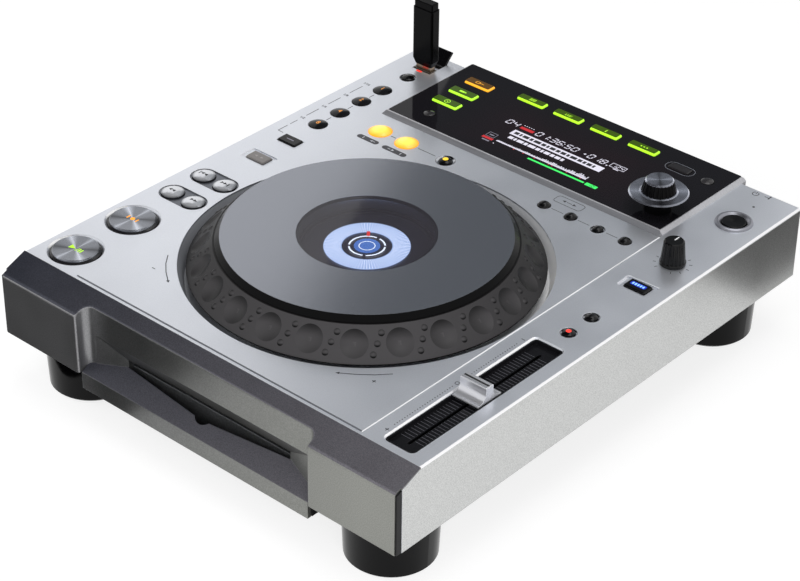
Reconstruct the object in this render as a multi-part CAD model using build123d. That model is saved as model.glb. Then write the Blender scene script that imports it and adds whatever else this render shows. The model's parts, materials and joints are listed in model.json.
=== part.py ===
"""Tabletop CD player for disc jockeys: slot-loading drive, jog wheel, tempo slider, control deck.

Millimetres, +Z up, -Y towards the user, Z = 0 at the underside of the feet.  Positions are
measured from the middle of the case; each piece is moved by ORIGIN_Y when it is written, so that
the finished player is centred on the origin.
"""
from build123d import *
import os

# ---- overall sizes ---------------------------------------------------------------------------
BODY_W = 305.0            # case width, over the side walls
BODY_D = 362.0            # case depth, fascia face to rear edge
BODY_H = 47.1             # case height, underside to top deck
FOOT_H = 34.3             # standing height of the feet
WALL = 2.4                # wall and deck thickness
GAP = 0.35                # clearance round a moving key or knob
SEAT_GAP = 0.3            # clearance over a retaining flange
SLIP = 0.05               # fitting clearance between fixed pieces
RUNNING = 0.05            # radial clearance of a shaft in its bearing
CUT = 1.0                # how far a cutter runs past the face it opens
BITE = 0.1               # how far joined blocks reach into each other
MERGE = 0.01             # overlap of shapes that are to merge

HALF_W = BODY_W / 2
FRONT_Y = -BODY_D / 2
REAR_Y = BODY_D / 2
BASE_Z = FOOT_H
DECK_Z = BASE_Z + BODY_H
DECK_UNDER = DECK_Z - WALL
THROUGH_DECK = (DECK_UNDER - CUT, DECK_Z + CUT)
INNER_W = HALF_W - WALL - SLIP

# ---- fascia and disc slot --------------------------------------------------------------------
SLOPE_D = 18.7            # depth of the sloping strip along the front edge
SLOPE_H = 7.4             # its drop
BEND_R = 3.0
DECK_CHAMFER = 1.3       # along the sides of the deck
FASCIA_WALL = 3.0
STRIP_EDGE_T = 0.8        # strip's thin edge where it laps over the side walls
STRIP_EDGE_INSET = 0.2
CORNER_W = 1.1            # dark strips between fascia and side walls
CORNER_D = 4.4
CORNER_SETBACK = 0.6
CORNER_FLANGE_W = 3.5
CORNER_FLANGE_DROP = 5.0   # flange's top below the bend
CORNER_TOP_GAP = 1.0       # strip below the fascia's bend
CORNER_STRIP_GAP = 0.1     # strip behind the strip's thin edge
RECESS_HALF_W = 89.5      # hand recess in front of the slot
RECESS_D = 9.0
RECESS_CORNER_R = 6.0
RECESS_EDGE_R = 1.5         # along its upper edge and down its mouth
RECESS_WALL = 3.0
SLOT_SETBACK = 15.0       # slot behind the fascia face
SLOT_HALF_W = 63.2
SLOT_H = 5.0
SLOT_RISE = 8.9           # slot's lower edge above the case underside
THROAT_D = 3.0
HOOD_RISE = 24.7          # where the hood over the slot begins to slant back
HOOD_HALF_W = 83.0
VEE_D = 4.3               # how far the slot's lower edge dips towards the user
VEE_HALF_W = 7.4
NOTCH_R = 7.0             # thumb notch
LIP_SETBACK = 1.5
LIP_T = 2.5
LIP_RISE = 0.7            # lip's upper edge above the case underside
LIP_DROP = 10.3           # and its lower edge below it
LIP_SIDE_GAP = 1.0
LIP_BEND_R = 0.6

FASCIA_TOP_Y = FRONT_Y + SLOPE_D
BEND_Z = DECK_Z - SLOPE_H
RECESS_Y = FRONT_Y + RECESS_D
SLOT_Y = FRONT_Y + SLOT_SETBACK
THROAT_Y = SLOT_Y + THROAT_D
SLOT_Z = BASE_Z + SLOT_RISE
SLOT_TOP_Z = SLOT_Z + SLOT_H
HOOD_Z = BASE_Z + HOOD_RISE
LIP_Y = FRONT_Y + LIP_SETBACK
LIP_Z = BASE_Z + LIP_RISE
LIP_LOW_Z = BASE_Z - LIP_DROP
LIP_HALF_W = RECESS_HALF_W - LIP_SIDE_GAP

# ---- bottom chassis and feet -----------------------------------------------------------------
CHASSIS_T = 2.0
PAN_T = 1.5
PAN_HALF_W = 89.3         # housing of the drive below the case
PAN_D = 216.0
PAN_CLEAR = 0.6           # below the slot's apron
PAN_RISE = 0.6             # pan's underside above the lip's lower edge
TRAY_CLEAR_H = 9.0         # height cut clear above the tray's floor
FOOT_R = 26.0
FOOT_TOP_R = FOOT_R + 1.1
FOOT_FLANGE_R = FOOT_R + 2.4
FOOT_FLANGE_H = 2.8
FOOT_BORE_R = 5.0
FOOT_BORE_TOP = 5.0        # solid left over the bore
FOOT_EDGE = 1.5
FOOT_INSET_X = 34.5       # from the sides of the case
FOOT_INSET_Y = 35.0       # from its front and rear
SCREW_R = 1.5
SCREW_HEAD_R = 2.9
SCREW_HEAD_H = 1.8
SCREW_L = 12.0
SCREW_TIP_GAP = 1.0
POST_R = 3.2
POST_INSET = 6.0
POST_BEHIND_FOOT = 27.0    # front posts from the middle of the front feet
POST_MID_Y = 24.0
POST_REAR_INSET = 9.0

CHASSIS_TOP = BASE_Z + CHASSIS_T
POST_YS = (FRONT_Y + FOOT_INSET_Y + POST_BEHIND_FOOT, POST_MID_Y, REAR_Y - POST_REAR_INSET)

# ---- centre panel and jog wheel --------------------------------------------------------------
PANEL_HALF_W = 110.0
PANEL_T = 1.0
PANEL_PROUD = 0.5
PANEL_CHAMFER = 0.4
PANEL_FRONT_GAP = 2.2     # behind the fascia
JOG_Y = -36.0
JOG_R = 104.0             # grip ring
JOG_GAP = 5.0             # between the ring and the well's mouth in the panel
WELL_R = JOG_R + JOG_GAP
WELL_FLARE = 3.8          # mouth wider than the floor
WELL_FLOOR_R = WELL_R - WELL_FLARE
WELL_WALL = 0.7
WELL_DEPTH = 9.9
WELL_FLOOR_T = 2.0
GRIP_W = 15.6             # sloping grip, seen from above
PLATE_GAP = 1.0           # plate's skirt inside the grip
PLATE_BEVEL_W = 3.0
JOG_SHOULDER_R = JOG_R - GRIP_W
JOG_PLATE_SKIRT_R = JOG_SHOULDER_R - PLATE_GAP
JOG_PLATE_R = JOG_PLATE_SKIRT_R - PLATE_BEVEL_W
JOG_PLATE_T = 1.2
JOG_RISE = 18.0           # plate above the panel
JOG_SKIRT_DROP = 1.6      # ring's lower edge below the deck
JOG_EDGE_H = 0.7
JOG_SHELL_T = 4.0
JOG_WEB_T = 2.5
JOG_WEB_DROP = 9.5         # web below the ring's shoulder
JOG_HUB_RISE = 3.0         # hub above the well's floor
JOG_LIP_LAP = 2.0          # ring's inner lip under the plate's skirt
JOG_PRESS = 0.4
JOG_SKIRT_GAP = 0.1        # plate's skirt above the shoulder when pressed
JOG_TUBE_T = 3.0
JOG_TUBE_CLEAR = 0.9       # tube above the display when pressed
JOG_WINDOW_DROP = 0.1      # window's face below the plate
JOG_DISPLAY_R = 38.2
JOG_TUBE_R = JOG_DISPLAY_R + 0.7               # bore of the tube round the display
JOG_WINDOW_R = JOG_TUBE_R + 1.8
JOG_POST_R = JOG_TUBE_R + JOG_TUBE_T + 2.1
JOG_POST_T = 4.0
JOG_POST_CAP_T = 2.0
JOG_HUB_T = 2.5
JOG_DISPLAY_T = 2.4
JOG_DISPLAY_DROP = 9.0    # below the plate
JOG_DISPLAY_RIM = (1.5, 2.0)   # rim's width at its top and foot
JOG_DISPLAY_SINK = 0.6     # display face below its rim
DIMPLE_COUNT = 24
DIMPLE_PHASE = 8.2        # degrees
DIMPLE_R = 8.3            # rim of a finger dimple
DIMPLE_DEPTH = 2.0
DIMPLE_RING_R = JOG_R - 8.1
BUMP_R = 1.9
BUMP_H = 0.7
BUMP_PITCH = 6.0
BUMP_SLANT = 2.4          # sideways step between neighbouring bumps

DIAGONAL = 2 ** 0.5           # the grip slopes at 45 degrees
PANEL_TOP = DECK_Z + PANEL_PROUD
PANEL_UNDER = PANEL_TOP - PANEL_T
PANEL_FRONT_Y = FASCIA_TOP_Y + PANEL_FRONT_GAP
WELL_OUTER_R = WELL_R + WELL_WALL
WELL_Z = PANEL_TOP - WELL_DEPTH
JOG_TOP = PANEL_TOP + JOG_RISE
JOG_SKIRT_Z = DECK_Z - JOG_SKIRT_DROP
JOG_EDGE_Z = JOG_SKIRT_Z + JOG_EDGE_H
JOG_SHOULDER_Z = JOG_EDGE_Z + JOG_R - JOG_SHOULDER_R
JOG_DISPLAY_Z = JOG_TOP - JOG_DISPLAY_DROP

# ---- display ---------------------------------------------------------------------------------
DISPLAY_D = 87.8
DISPLAY_OVERHANG = 4.6
DISPLAY_INSET_X = 0.3      # from the sides of the centre panel
DISPLAY_MID_D = 45.2      # screen's middle behind the front edge
DISPLAY_BEVEL_X = 2.1
DISPLAY_BEVEL_Y = 2.7
DISPLAY_RISE = 2.6
DISPLAY_BACK_R = 2.0
HOOK_DROP = 3.4            # frame's hook below the deck
WINDOW_INSET_X = 0.6      # window edge from the bevel
WINDOW_INSET_Y = 1.1
WINDOW_PROUD = 0.2
WINDOW_T = 1.8
WINDOW_LEDGE = 3.0
WINDOW_CORNER = 0.8
DECK_RIM = 3.2            # deck left along the rear of the display's opening

DISPLAY_BACK_Y = REAR_Y + DISPLAY_OVERHANG
DISPLAY_FRONT_Y = DISPLAY_BACK_Y - DISPLAY_D
DISPLAY_TOP = DECK_Z + DISPLAY_RISE
DISPLAY_HALF_W = PANEL_HALF_W - DISPLAY_INSET_X
DISPLAY_Y = DISPLAY_FRONT_Y + DISPLAY_MID_D
WINDOW_TOP = DISPLAY_TOP + WINDOW_PROUD
WINDOW_UNDER = WINDOW_TOP - WINDOW_T
WINDOW_HALF_W = DISPLAY_HALF_W - DISPLAY_BEVEL_X - WINDOW_INSET_X
WINDOW_Y = (DISPLAY_FRONT_Y + DISPLAY_BEVEL_Y + WINDOW_INSET_Y, DISPLAY_BACK_Y - WINDOW_INSET_Y)

# ---- keys ------------------------------------------------------------------------------------
LEFT_INSET = 24.5             # control columns, from the sides of the case
RIGHT_INSET = 20.5
LEFT_X = LEFT_INSET - HALF_W
RIGHT_X = HALF_W - RIGHT_INSET
ROW_Y = 79.7                  # keys between jog wheel and display
STEM_R = 1.8
STEM_REACH = 2.8              # below the deck
FLANGE_T = 1.0
FLANGE_LIP = 1.0              # flange wider than the key
KEY_EDGE = 0.3                # straight edge under a key's dome
BIG_KEY_R = 15.1
BIG_KEY_FACE_R = BIG_KEY_R - 1.2
BIG_KEY_PROUD = 1.3
BIG_DISH_R = BIG_KEY_R + 1.7
BIG_DISH_D = 1.4
BIG_KEY_X = LEFT_X - 3.0
BIG_KEY_YS = {"play_key": -142.0, "cue_key": -97.2}
DISH_D = 1.0
PAIR_REACH = 8.75             # key centres in a pair from the pair's middle
PAIR_KEY_R = 7.1
PAIR_POCKET_R = PAIR_KEY_R + 1.5
POCKET_D = 0.8
RECT_POCKET_CORNER = 1.5
RECT_KEY_CHAMFER = 0.5
DIRECTION_PROUD = 0.4
LOOP_MODE_PROUD = 1.0
JOG_MODE_PROUD = 0.6
DISH_KEY_DOME = 1.2
WINDOW_KEY_DOME = 0.9
DISH_LIP = 0.3
DISH_FLOOR = 0.5
BIG_KEY_STEP = (0.6, 0.1)      # foot of the bevel below the deck, and its head above
BIG_KEY_EDGE = (0.6, 0.5)      # bevel round the face: inwards and down
BIG_KEY_HOLLOW = 0.5
RECT_KEY = (14.6, 8.6)
RECT_POCKET = (RECT_KEY[0] + 6.2, RECT_KEY[1] + 3.8)
RECT_KEY_CORNER = 1.0
DIRECTION_Y = 5.8
LOOP_MODE_Y = 33.4
JOG_MODE_Y = 47.2
EJECT_Y = 141.0
EJECT_RING_R = 11.6
EJECT_RING_H = 1.5
EJECT_NECK_R = EJECT_RING_R - 2.0
EJECT_KEY_R = 7.4
EJECT_KEY_DROP = 0.5           # below the ring
EJECT_KEY_EDGE = 0.3
EJECT_KEY_HOLLOW = 0.4
EJECT_RING_EDGE = (0.5, 0.4)
EJECT_RING_LAND = (1.4, 2.2)   # flat top, from the ring's outside
WINDOW_KEY_PROUD = 0.9

# name, x, y, radius, dome height
DECK_KEYS = [
    ("search_back_key", LEFT_X - PAIR_REACH, -59.1, PAIR_KEY_R, 1.5),
    ("search_forward_key", LEFT_X + PAIR_REACH, -59.1, PAIR_KEY_R, 1.5),
    ("track_back_key", LEFT_X - PAIR_REACH, -32.9, PAIR_KEY_R, 1.5),
    ("track_forward_key", LEFT_X + PAIR_REACH, -32.9, PAIR_KEY_R, 1.5),
    ("beat_loop_8_key", LEFT_X - 1.6, 60.4, 6.0, 1.2),
    ("beat_loop_4_key", LEFT_X - 1.6, 80.6, 6.0, 1.2),
    ("beat_loop_2_key", LEFT_X - 1.6, 100.8, 6.0, 1.2),
    ("beat_loop_1_key", LEFT_X - 1.6, 121.0, 6.0, 1.2),
]
# name, x, radius, dome height: keys in the row
ROW_KEYS = [
    ("loop_in_key", -94.2, 7.5, 2.0),
    ("loop_out_key", -72.3, 7.5, 2.0),
    ("call_back_key", 37.5, 4.0, 2.2),
    ("call_forward_key", 57.6, 4.0, 2.2),
    ("memory_key", 97.9, 4.0, 2.2),
]
# name, x, y, key radius, dish radius: keys in metal dishes
DISH_KEYS = [
    ("usb_stop_key", LEFT_X - 1.2, 145.3, 4.1, 5.6),
    ("tempo_range_key", RIGHT_X, 4.3, 3.6, 5.0),
    ("master_tempo_key", RIGHT_X, -16.2, 3.6, 5.0),
    ("reloop_key", -40.2, ROW_Y, 4.1, 6.4),
    ("delete_key", 77.9, ROW_Y, 3.2, 4.7),
]
# name, x, y from the display's middle, width, depth: keys in the window
WINDOW_KEYS = [
    ("source_disc_key", -84.9, -10.0, 20.0, 7.6),
    ("source_usb_key", -84.9, 6.2, 20.0, 7.6),
    ("source_link_key", -84.9, 22.3, 20.0, 7.6),
    ("browse_key", -45.6, 28.1, 20.8, 6.6),
    ("tag_list_key", -16.2, 28.1, 20.8, 6.6),
    ("info_key", 13.4, 28.1, 20.8, 6.6),
    ("menu_key", 43.0, 28.1, 20.8, 6.6),
    ("back_key", 74.4, 23.0, 14.6, 6.2),
]
# name, x, y from the display's middle, radius
WINDOW_ROUND_KEYS = [
    ("time_mode_key", -84.0, -28.3, 3.7),
    ("tag_track_key", 95.3, 22.2, 4.0),
]

# ---- knobs and slider ------------------------------------------------------------------------
VINYL_Y = 80.1
VINYL_R = 7.3
VINYL_TOP_R = VINYL_R - 1.2
VINYL_H = 15.6
VINYL_SKIRT_H = 2.0
VINYL_FLUTES = 18
VINYL_SKIRT_OUT = 0.5
VINYL_SKIRT_EDGE = 0.6
KNOB_LIFT = 0.4                # knob's foot above its surface
KNOB_EDGE = 0.8
SELECTOR_X = 91.7
SELECTOR_Y = -23.5            # from the display's middle
SELECTOR_FLANGE_R = 18.1
SELECTOR_FLANGE_T = 1.6
SELECTOR_FLANGE_RISE = 10.7   # above the window
SELECTOR_KNOB_R = 10.7
SELECTOR_FOOT_R = SELECTOR_KNOB_R - 2.1
SELECTOR_TOP_R = SELECTOR_KNOB_R - 2.0
SELECTOR_RISE = 20.2
SELECTOR_FLUTES = 24
SELECTOR_FLANGE_EDGE = (1.2, 0.8)
SELECTOR_FILLET = (1.0, 0.3)
SELECTOR_EDGE = 0.9
SELECTOR_HOLLOW = 0.4
FLUTE_R = 0.7
FLUTE_OUT = 0.2                # groove's axis outside the knob
SHAFT_R = 3.0
TEMPO_INSET = 21.2             # from the right side
TEMPO_X = HALF_W - TEMPO_INSET
TEMPO_Y = -93.8
TEMPO_TRAVEL = 50.0
CAP_W = 18.0
CAP_L = 19.0
CAP_TOP_L = 6.0
CAP_H = 9.4
CAP_FLARE_H = 5.0
CAP_EDGE = 0.9
CAP_BEND = (1.5, 1.6)
CAP_CHAMFER = 0.4
CAP_RISE = -0.8               # cap's underside from the deck
CAP_STEM = (1.2, 6.4)
CAP_FOOT = (6.0, 7.0)
TRAY_W = CAP_W + 2.2
TRAY_L = 2 * TEMPO_TRAVEL + CAP_L + 6.0
TRAY_DEPTH = 3.4
TRAY_T = 1.0
TRAY_CORNER = 3.0
TRAY_RIM = 0.9                 # chamfer round the tray's opening
TRAY_DROP = 1.0                # tray's edge below the deck
TRAY_SLOT_W = CAP_STEM[0] + 0.8
TRAY_SLOT_L = 2 * TEMPO_TRAVEL + CAP_STEM[1] + 2.6

# ---- media socket, flap and memory stick -----------------------------------------------------
USB_INSET = 23.4               # from the left side
USB_X = USB_INSET - HALF_W
USB_Y = 162.6
PLUG = (12.0, 4.5)
SOCKET_SHELL_T = 0.5
SOCKET_CLEAR = 0.3
SOCKET_DEPTH = 16.0
PLUG_IN = 12.0
PLUG_OUT = 3.4
STICK = (16.8, 8.0)
STICK_CORNER = 1.5
STICK_H = 41.0
STICK_NECK_H = 4.0
STICK_CAP_H = 5.0
STICK_NECK_IN = (3.0, 2.0)     # neck smaller than the body at its foot
STICK_CAP_IN = 1.4
STICK_CAP_R = 0.6
FLAP_W = 14.4
FLAP_L = 12.6
FLAP_T = 1.6
FLAP_POCKET_FRONT = 4.6       # before the socket's axis
FLAP_AXIS_Y = 9.6             # behind the socket's axis
FLAP_LEAN = 45.0              # open flap, degrees back from upright
FLAP_BARREL_R = 1.3
FLAP_PIN_R = 0.8
FLAP_PIN_L = 1.5
FLAP_PIN_GAP = 0.2
FLAP_DROP = 0.2                # barrel below the deck
FLAP_SEAT = 0.4                # pocket's floor below the closed flap
FLAP_CHAMFER = 0.3
FLAP_TROUGH = 4.0             # trough behind the hinge axis
POCKET_PAD_T = 3.2
POCKET_PAD = (3.0, 2.0, 1.2)   # pad past the pocket: sides, front and rear

# ---- inside and behind the case --------------------------------------------------------------
BOARD_T = 1.6
BOARD_DROP = 4.4              # board top below the deck
BOARD_ENDS = (24.0, 9.0)       # from the case's front and from the rear panel
BOARD_SIDE_GAP = 1.0
BOARD_WELL_GAP = 1.8
DRIVE_HALF_W = 72.0
DRIVE_D = 140.0
DRIVE_H = 36.8
DRIVE_T = 1.5
DRIVE_RISE = 3.0              # above the pan's lower edge
EAR_INSET = 24.0              # mounting ears, from the drive's front and rear
EAR_HALF_D = 6.0
EAR_OUT = 4.0                  # past the pan's sides
MOTOR_SUMP = 2.5
SPINDLE_D = 66.0              # spindle behind the drive's front
TURNTABLE_R = 14.0
TURNTABLE_T = 3.0
MOTOR_R = 12.0
CLAMP_R = 13.0
CLAMP_GAP = 3.2
DISC_CLEAR = 1.0
DISC_SEAT_DROP = 0.6           # below the middle of the slot
SPINDLE_FOOT = 6.0             # above the pan's lower edge
CONE = (7.4, 5.4, 1.9)         # foot radius, head radius and height
ROLLER_R = 4.0
ROLLER_HALF_L = 62.0
ROLLER_PIN_R = 1.5
ROLLER_WAIST = 0.8
ROLLER_D = 7.0                # roller behind the drive's front
ROLLER_CLEAR = 0.4            # below the disc's path
REAR_T = 1.6
REAR_INSET = 1.6
SOCKET_Z = BASE_Z + 24.0
PHONO_XS = (-118.0, -98.0, -70.0)
PHONO_R = 4.15
PHONO_BORE_R = 1.6
PHONO_L = 9.0
PHONO_SHOULDER_R = 5.2        # in the panel's hole
PHONO_COLLAR_R = 6.4          # behind the panel
PHONO_BODY_D = 6.0
PHONO_BACK_T = 2.0
MINI_JACK_X = -46.0
MINI_JACK_R = 1.75
MINI_JACK_COLLAR_R = 3.6
MINI_JACK_L = 14.0
MINI_JACK_BORE_L = 12.0
MINI_JACK_PROUD = 1.2
NETWORK_X = -14.0
NETWORK = (16.0, 13.6)
NETWORK_PORT = (11.8, 8.6)
USB_B_X = 12.0
USB_B = (12.0, 10.8)
USB_B_PORT = (8.6, 7.9)
INLET_X = 84.0
INLET = (22.0, 15.0)
INLET_PORT = (16.0, 9.4)
INLET_PIN_R = 1.2
INLET_PIN_X = 4.3
PORT_D = 9.0
PORT_BODY_D = 13.0
PORT_PROUD = 0.4
INLET_PIN_SINK = 1.0
POWER_X = 122.0
POWER_R = 5.0
POWER_PROUD = 4.0
POWER_BODY = 15.0
POWER_WALL = 3.0
POWER_CHAMFER = 0.5
POWER_BACK_T = 2.0
POWER_PLAY = 6.0               # room behind the key

BOARD_TOP = DECK_UNDER - BOARD_DROP
STEM_Z = DECK_UNDER - STEM_REACH
DRIVE_Y = THROAT_Y + 0.1
SPINDLE_Y = DRIVE_Y + SPINDLE_D
ROLLER_Y = DRIVE_Y + ROLLER_D
ROLLER_Z = SLOT_Z - ROLLER_CLEAR - ROLLER_R
REAR_PANEL_Y = REAR_Y - REAR_INSET
REARMOST_Y = max(DISPLAY_BACK_Y, REAR_PANEL_Y + PHONO_L)
ORIGIN_Y = (FRONT_Y + REARMOST_Y) / 2


# ---- helpers ---------------------------------------------------------------------------------
def block(x, y, z):
    """Box between two corners, given as (low, high) pairs."""
    centre = [(low + high) / 2 for low, high in (x, y, z)]
    return Pos(*centre) * Box(x[1] - x[0], y[1] - y[0], z[1] - z[0])


def drum(radius, z, x=0.0, y=0.0):
    """Upright cylinder between two heights."""
    return Pos(x, y, (z[0] + z[1]) / 2) * Cylinder(radius, z[1] - z[0])


def rod(radius, x, y, z):
    """Cylinder along X."""
    return Pos((x[0] + x[1]) / 2, y, z) * Rot(0, 90, 0) * Cylinder(radius, x[1] - x[0])


def bar(radius, x, y, z):
    """Cylinder along Y."""
    return Pos(x, (y[0] + y[1]) / 2, z) * Rot(90, 0, 0) * Cylinder(radius, y[1] - y[0])


def turned(points, x=0.0, y=0.0):
    """Solid of revolution about an upright axis, from (radius, z) points."""
    outline = Plane.XZ * make_face(Polyline(*points, close=True))
    return Pos(x, y, 0) * revolve(outline, Axis.Z)


def domed(points, height, x=0.0, y=0.0):
    """Turned solid closed by a spherical dome over its last (radius, z) point."""
    rim, edge_z = points[-1]
    sphere = (rim ** 2 + height ** 2) / (2 * height)
    chord = rim / 2
    middle = (chord, edge_z + height - sphere + (sphere ** 2 - chord ** 2) ** 0.5)
    side = Polyline(*points)
    dome = ThreePointArc(points[-1], middle, (0, edge_z + height))
    axis = Line((0, edge_z + height), points[0])
    return Pos(x, y, 0) * revolve(Plane.XZ * make_face([side, dome, axis]), Axis.Z)


def prism_x(points, x):
    """Prism along X of a (y, z) outline."""
    outline = Plane.YZ * make_face(Polyline(*points, close=True))
    return Pos(x[0], 0, 0) * extrude(outline, x[1] - x[0])


def pad(size, corner, z, x=0.0, y=0.0):
    """Upright block with rounded corners."""
    return Pos(x, y, z[0]) * extrude(RectangleRounded(*size, corner), z[1] - z[0])


def all_of(solids):
    """One shape from several solids that stay separate."""
    return Compound([piece for solid in solids for piece in solid.solids()])


def slope_z(y):
    """Height of the sloping strip's upper face."""
    return BEND_Z + (y - FRONT_Y) * SLOPE_H / SLOPE_D


def foot_places():
    x = HALF_W - FOOT_INSET_X
    y = BODY_D / 2 - FOOT_INSET_Y
    return [(side * x, end * y) for side in (-1, 1) for end in (-1, 1)]


def post_places():
    return [(side * (HALF_W - POST_INSET), y) for side in (-1, 1) for y in POST_YS]


# ---- case ------------------------------------------------------------------------------------
def round_key_holes():
    """(x, y, radius) of every round hole through the deck, outside the display."""
    holes = [(x, y, r + GAP) for _, x, y, r, _ in DECK_KEYS]
    holes += [(x, ROW_Y, r + GAP) for _, x, r, _ in ROW_KEYS]
    holes += [(x, y, dish + SLIP) for _, x, y, _, dish in DISH_KEYS]
    holes += [(BIG_KEY_X, y, BIG_KEY_R + GAP) for y in BIG_KEY_YS.values()]
    holes.append((RIGHT_X, EJECT_Y, EJECT_NECK_R + SLIP))
    holes.append((RIGHT_X, VINYL_Y, SHAFT_R + RUNNING))
    return holes


def deck_pockets():
    """Cutters for the shallow pockets round the keys."""
    sunk = (DECK_Z - POCKET_D, DECK_Z + CUT)
    cutters = []
    for y in (DECK_KEYS[0][2], DECK_KEYS[2][2]):
        outline = SlotCenterToCenter(2 * PAIR_REACH, 2 * PAIR_POCKET_R)
        cutters.append(Pos(LEFT_X, y, sunk[0]) * extrude(outline, sunk[1] - sunk[0]))
    for x, y in ((LEFT_X, DIRECTION_Y), (RIGHT_X, JOG_MODE_Y)):
        cutters.append(pad(RECT_POCKET, RECT_POCKET_CORNER, sunk, x, y))
    hole = (RECT_KEY[0] + 2 * GAP, RECT_KEY[1] + 2 * GAP)
    for x, y in ((LEFT_X, DIRECTION_Y), (RIGHT_X, JOG_MODE_Y), (LEFT_X, LOOP_MODE_Y)):
        cutters.append(pad(hole, RECT_KEY_CORNER, THROUGH_DECK, x, y))
    dish = [(0, DECK_Z + CUT), (BIG_DISH_R + CUT, DECK_Z + CUT), (BIG_DISH_R, DECK_Z),
            (BIG_KEY_R + GAP, DECK_Z - BIG_DISH_D), (0, DECK_Z - BIG_DISH_D)]
    cutters += [turned(dish, BIG_KEY_X, y) for y in BIG_KEY_YS.values()]
    return cutters


def tempo_opening():
    """Cutter for the tempo slider's tray, with a chamfered rim."""
    size = (TRAY_W + 2 * SLIP, TRAY_L + 2 * SLIP)
    opening = pad(size, TRAY_CORNER, THROUGH_DECK, TEMPO_X, TEMPO_Y)
    rim = Pos(TEMPO_X, TEMPO_Y, DECK_Z - TRAY_RIM) * extrude(
        RectangleRounded(*size, TRAY_CORNER), TRAY_RIM + BITE, taper=-45)
    return [opening, rim]


def flap_pocket():
    """Cutters for the media flap: shallow pocket, hinge trough, pin holes and socket."""
    x = (USB_X - FLAP_W / 2 - GAP, USB_X + FLAP_W / 2 + GAP)
    axis_y = USB_Y + FLAP_AXIS_Y
    axis_z = DECK_Z - FLAP_BARREL_R - FLAP_DROP
    reach = FLAP_BARREL_R + GAP
    shell = [side + 2 * (SOCKET_CLEAR + SOCKET_SHELL_T + SLIP) for side in PLUG]
    pins = (x[0] - FLAP_PIN_L, x[1] + FLAP_PIN_L)
    return [
        block(x, (USB_Y - FLAP_POCKET_FRONT, axis_y), (DECK_Z - FLAP_T - FLAP_SEAT, DECK_Z + CUT)),
        block(x, (axis_y - reach, axis_y + FLAP_TROUGH), (axis_z - reach, DECK_Z + CUT)),
        rod(FLAP_PIN_R + RUNNING, pins, axis_y, axis_z),
        Pos(USB_X, USB_Y, DECK_Z) * Box(shell[0], shell[1], 2 * SOCKET_DEPTH),
    ]


def pocket_pad():
    """Thicker deck under the media flap's pocket."""
    side, front, rear = POCKET_PAD
    half = FLAP_W / 2 + side
    return block((USB_X - half, USB_X + half),
                 (USB_Y - FLAP_POCKET_FRONT - front, USB_Y + FLAP_AXIS_Y + FLAP_TROUGH + rear),
                 (DECK_UNDER - POCKET_PAD_T, DECK_UNDER + BITE))


def upper_case():
    """Silver case top: deck, side walls, screw posts and all openings."""
    step = SLIP + STRIP_EDGE_T
    side_front = FRONT_Y + CORNER_D
    side = [(side_front, BASE_Z), (side_front, slope_z(side_front) - step),
            (FASCIA_TOP_Y, DECK_Z - step), (FASCIA_TOP_Y + SLIP, DECK_Z),
            (REAR_Y, DECK_Z), (REAR_Y, BASE_Z)]
    case = prism_x(side, (-HALF_W, HALF_W))
    edges = case.edges().filter_by(Axis.Y).sort_by(Axis.Z)[-2:]
    case = chamfer(edges, DECK_CHAMFER)
    inside = [(side_front - CUT, BASE_Z - CUT), (side_front - CUT, DECK_Z),
              (FASCIA_TOP_Y + SLIP, DECK_Z), (FASCIA_TOP_Y + SLIP, DECK_UNDER),
              (REAR_Y + CUT, DECK_UNDER), (REAR_Y + CUT, BASE_Z - CUT)]
    case -= prism_x(inside, (-INNER_W - SLIP, INNER_W + SLIP))
    case += [drum(POST_R, (CHASSIS_TOP, DECK_UNDER + BITE), x, y) for x, y in post_places()]
    case += pocket_pad()
    cutters = [drum(SCREW_R + SLIP, (BASE_Z, BASE_Z + SCREW_L), x, y) for x, y in post_places()]
    cutters += [drum(r, THROUGH_DECK, x, y) for x, y, r in round_key_holes()]
    cutters.append(drum(WELL_OUTER_R + SLIP, THROUGH_DECK, 0, JOG_Y))
    seat = PANEL_HALF_W + SLIP
    cutters.append(block((-seat, seat), (PANEL_FRONT_Y - SLIP, DISPLAY_FRONT_Y),
                         (PANEL_UNDER, DECK_Z + CUT)))
    half = WINDOW_HALF_W - WINDOW_LEDGE
    cutters.append(block((-half, half), (WINDOW_Y[0] + WINDOW_LEDGE, REAR_PANEL_Y - DECK_RIM),
                         THROUGH_DECK))
    return case - (cutters + deck_pockets() + tempo_opening() + flap_pocket())


def centre_panel():
    """Plate round the jog wheel, let into the deck."""
    plate = block((-PANEL_HALF_W, PANEL_HALF_W), (PANEL_FRONT_Y, DISPLAY_FRONT_Y - SLIP),
                  (PANEL_UNDER, PANEL_TOP))
    plate = chamfer(plate.edges().group_by(Axis.Z)[-1], PANEL_CHAMFER)
    through = (PANEL_UNDER - CUT, PANEL_TOP + CUT)
    holes = [drum(r + GAP, through, x, ROW_Y) for _, x, r, _ in ROW_KEYS]
    holes += [drum(dish + SLIP, through, x, y) for _, x, y, _, dish in DISH_KEYS if y == ROW_Y]
    return plate - holes - drum(WELL_R, through, 0, JOG_Y)


def fascia_outline():
    """Front wall and sloping strip with the bend between them, as one prism."""
    outline = [(FRONT_Y, BASE_Z), (FRONT_Y, BEND_Z), (FASCIA_TOP_Y, DECK_Z),
               (FASCIA_TOP_Y, DECK_UNDER), (THROAT_Y, DECK_UNDER), (THROAT_Y, BASE_Z)]
    front = prism_x(outline, (-INNER_W, INNER_W))
    bend = front.edges().filter_by(Axis.X).sort_by_distance((0, FRONT_Y, BEND_Z))[0]
    return fillet(bend, BEND_R)


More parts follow.
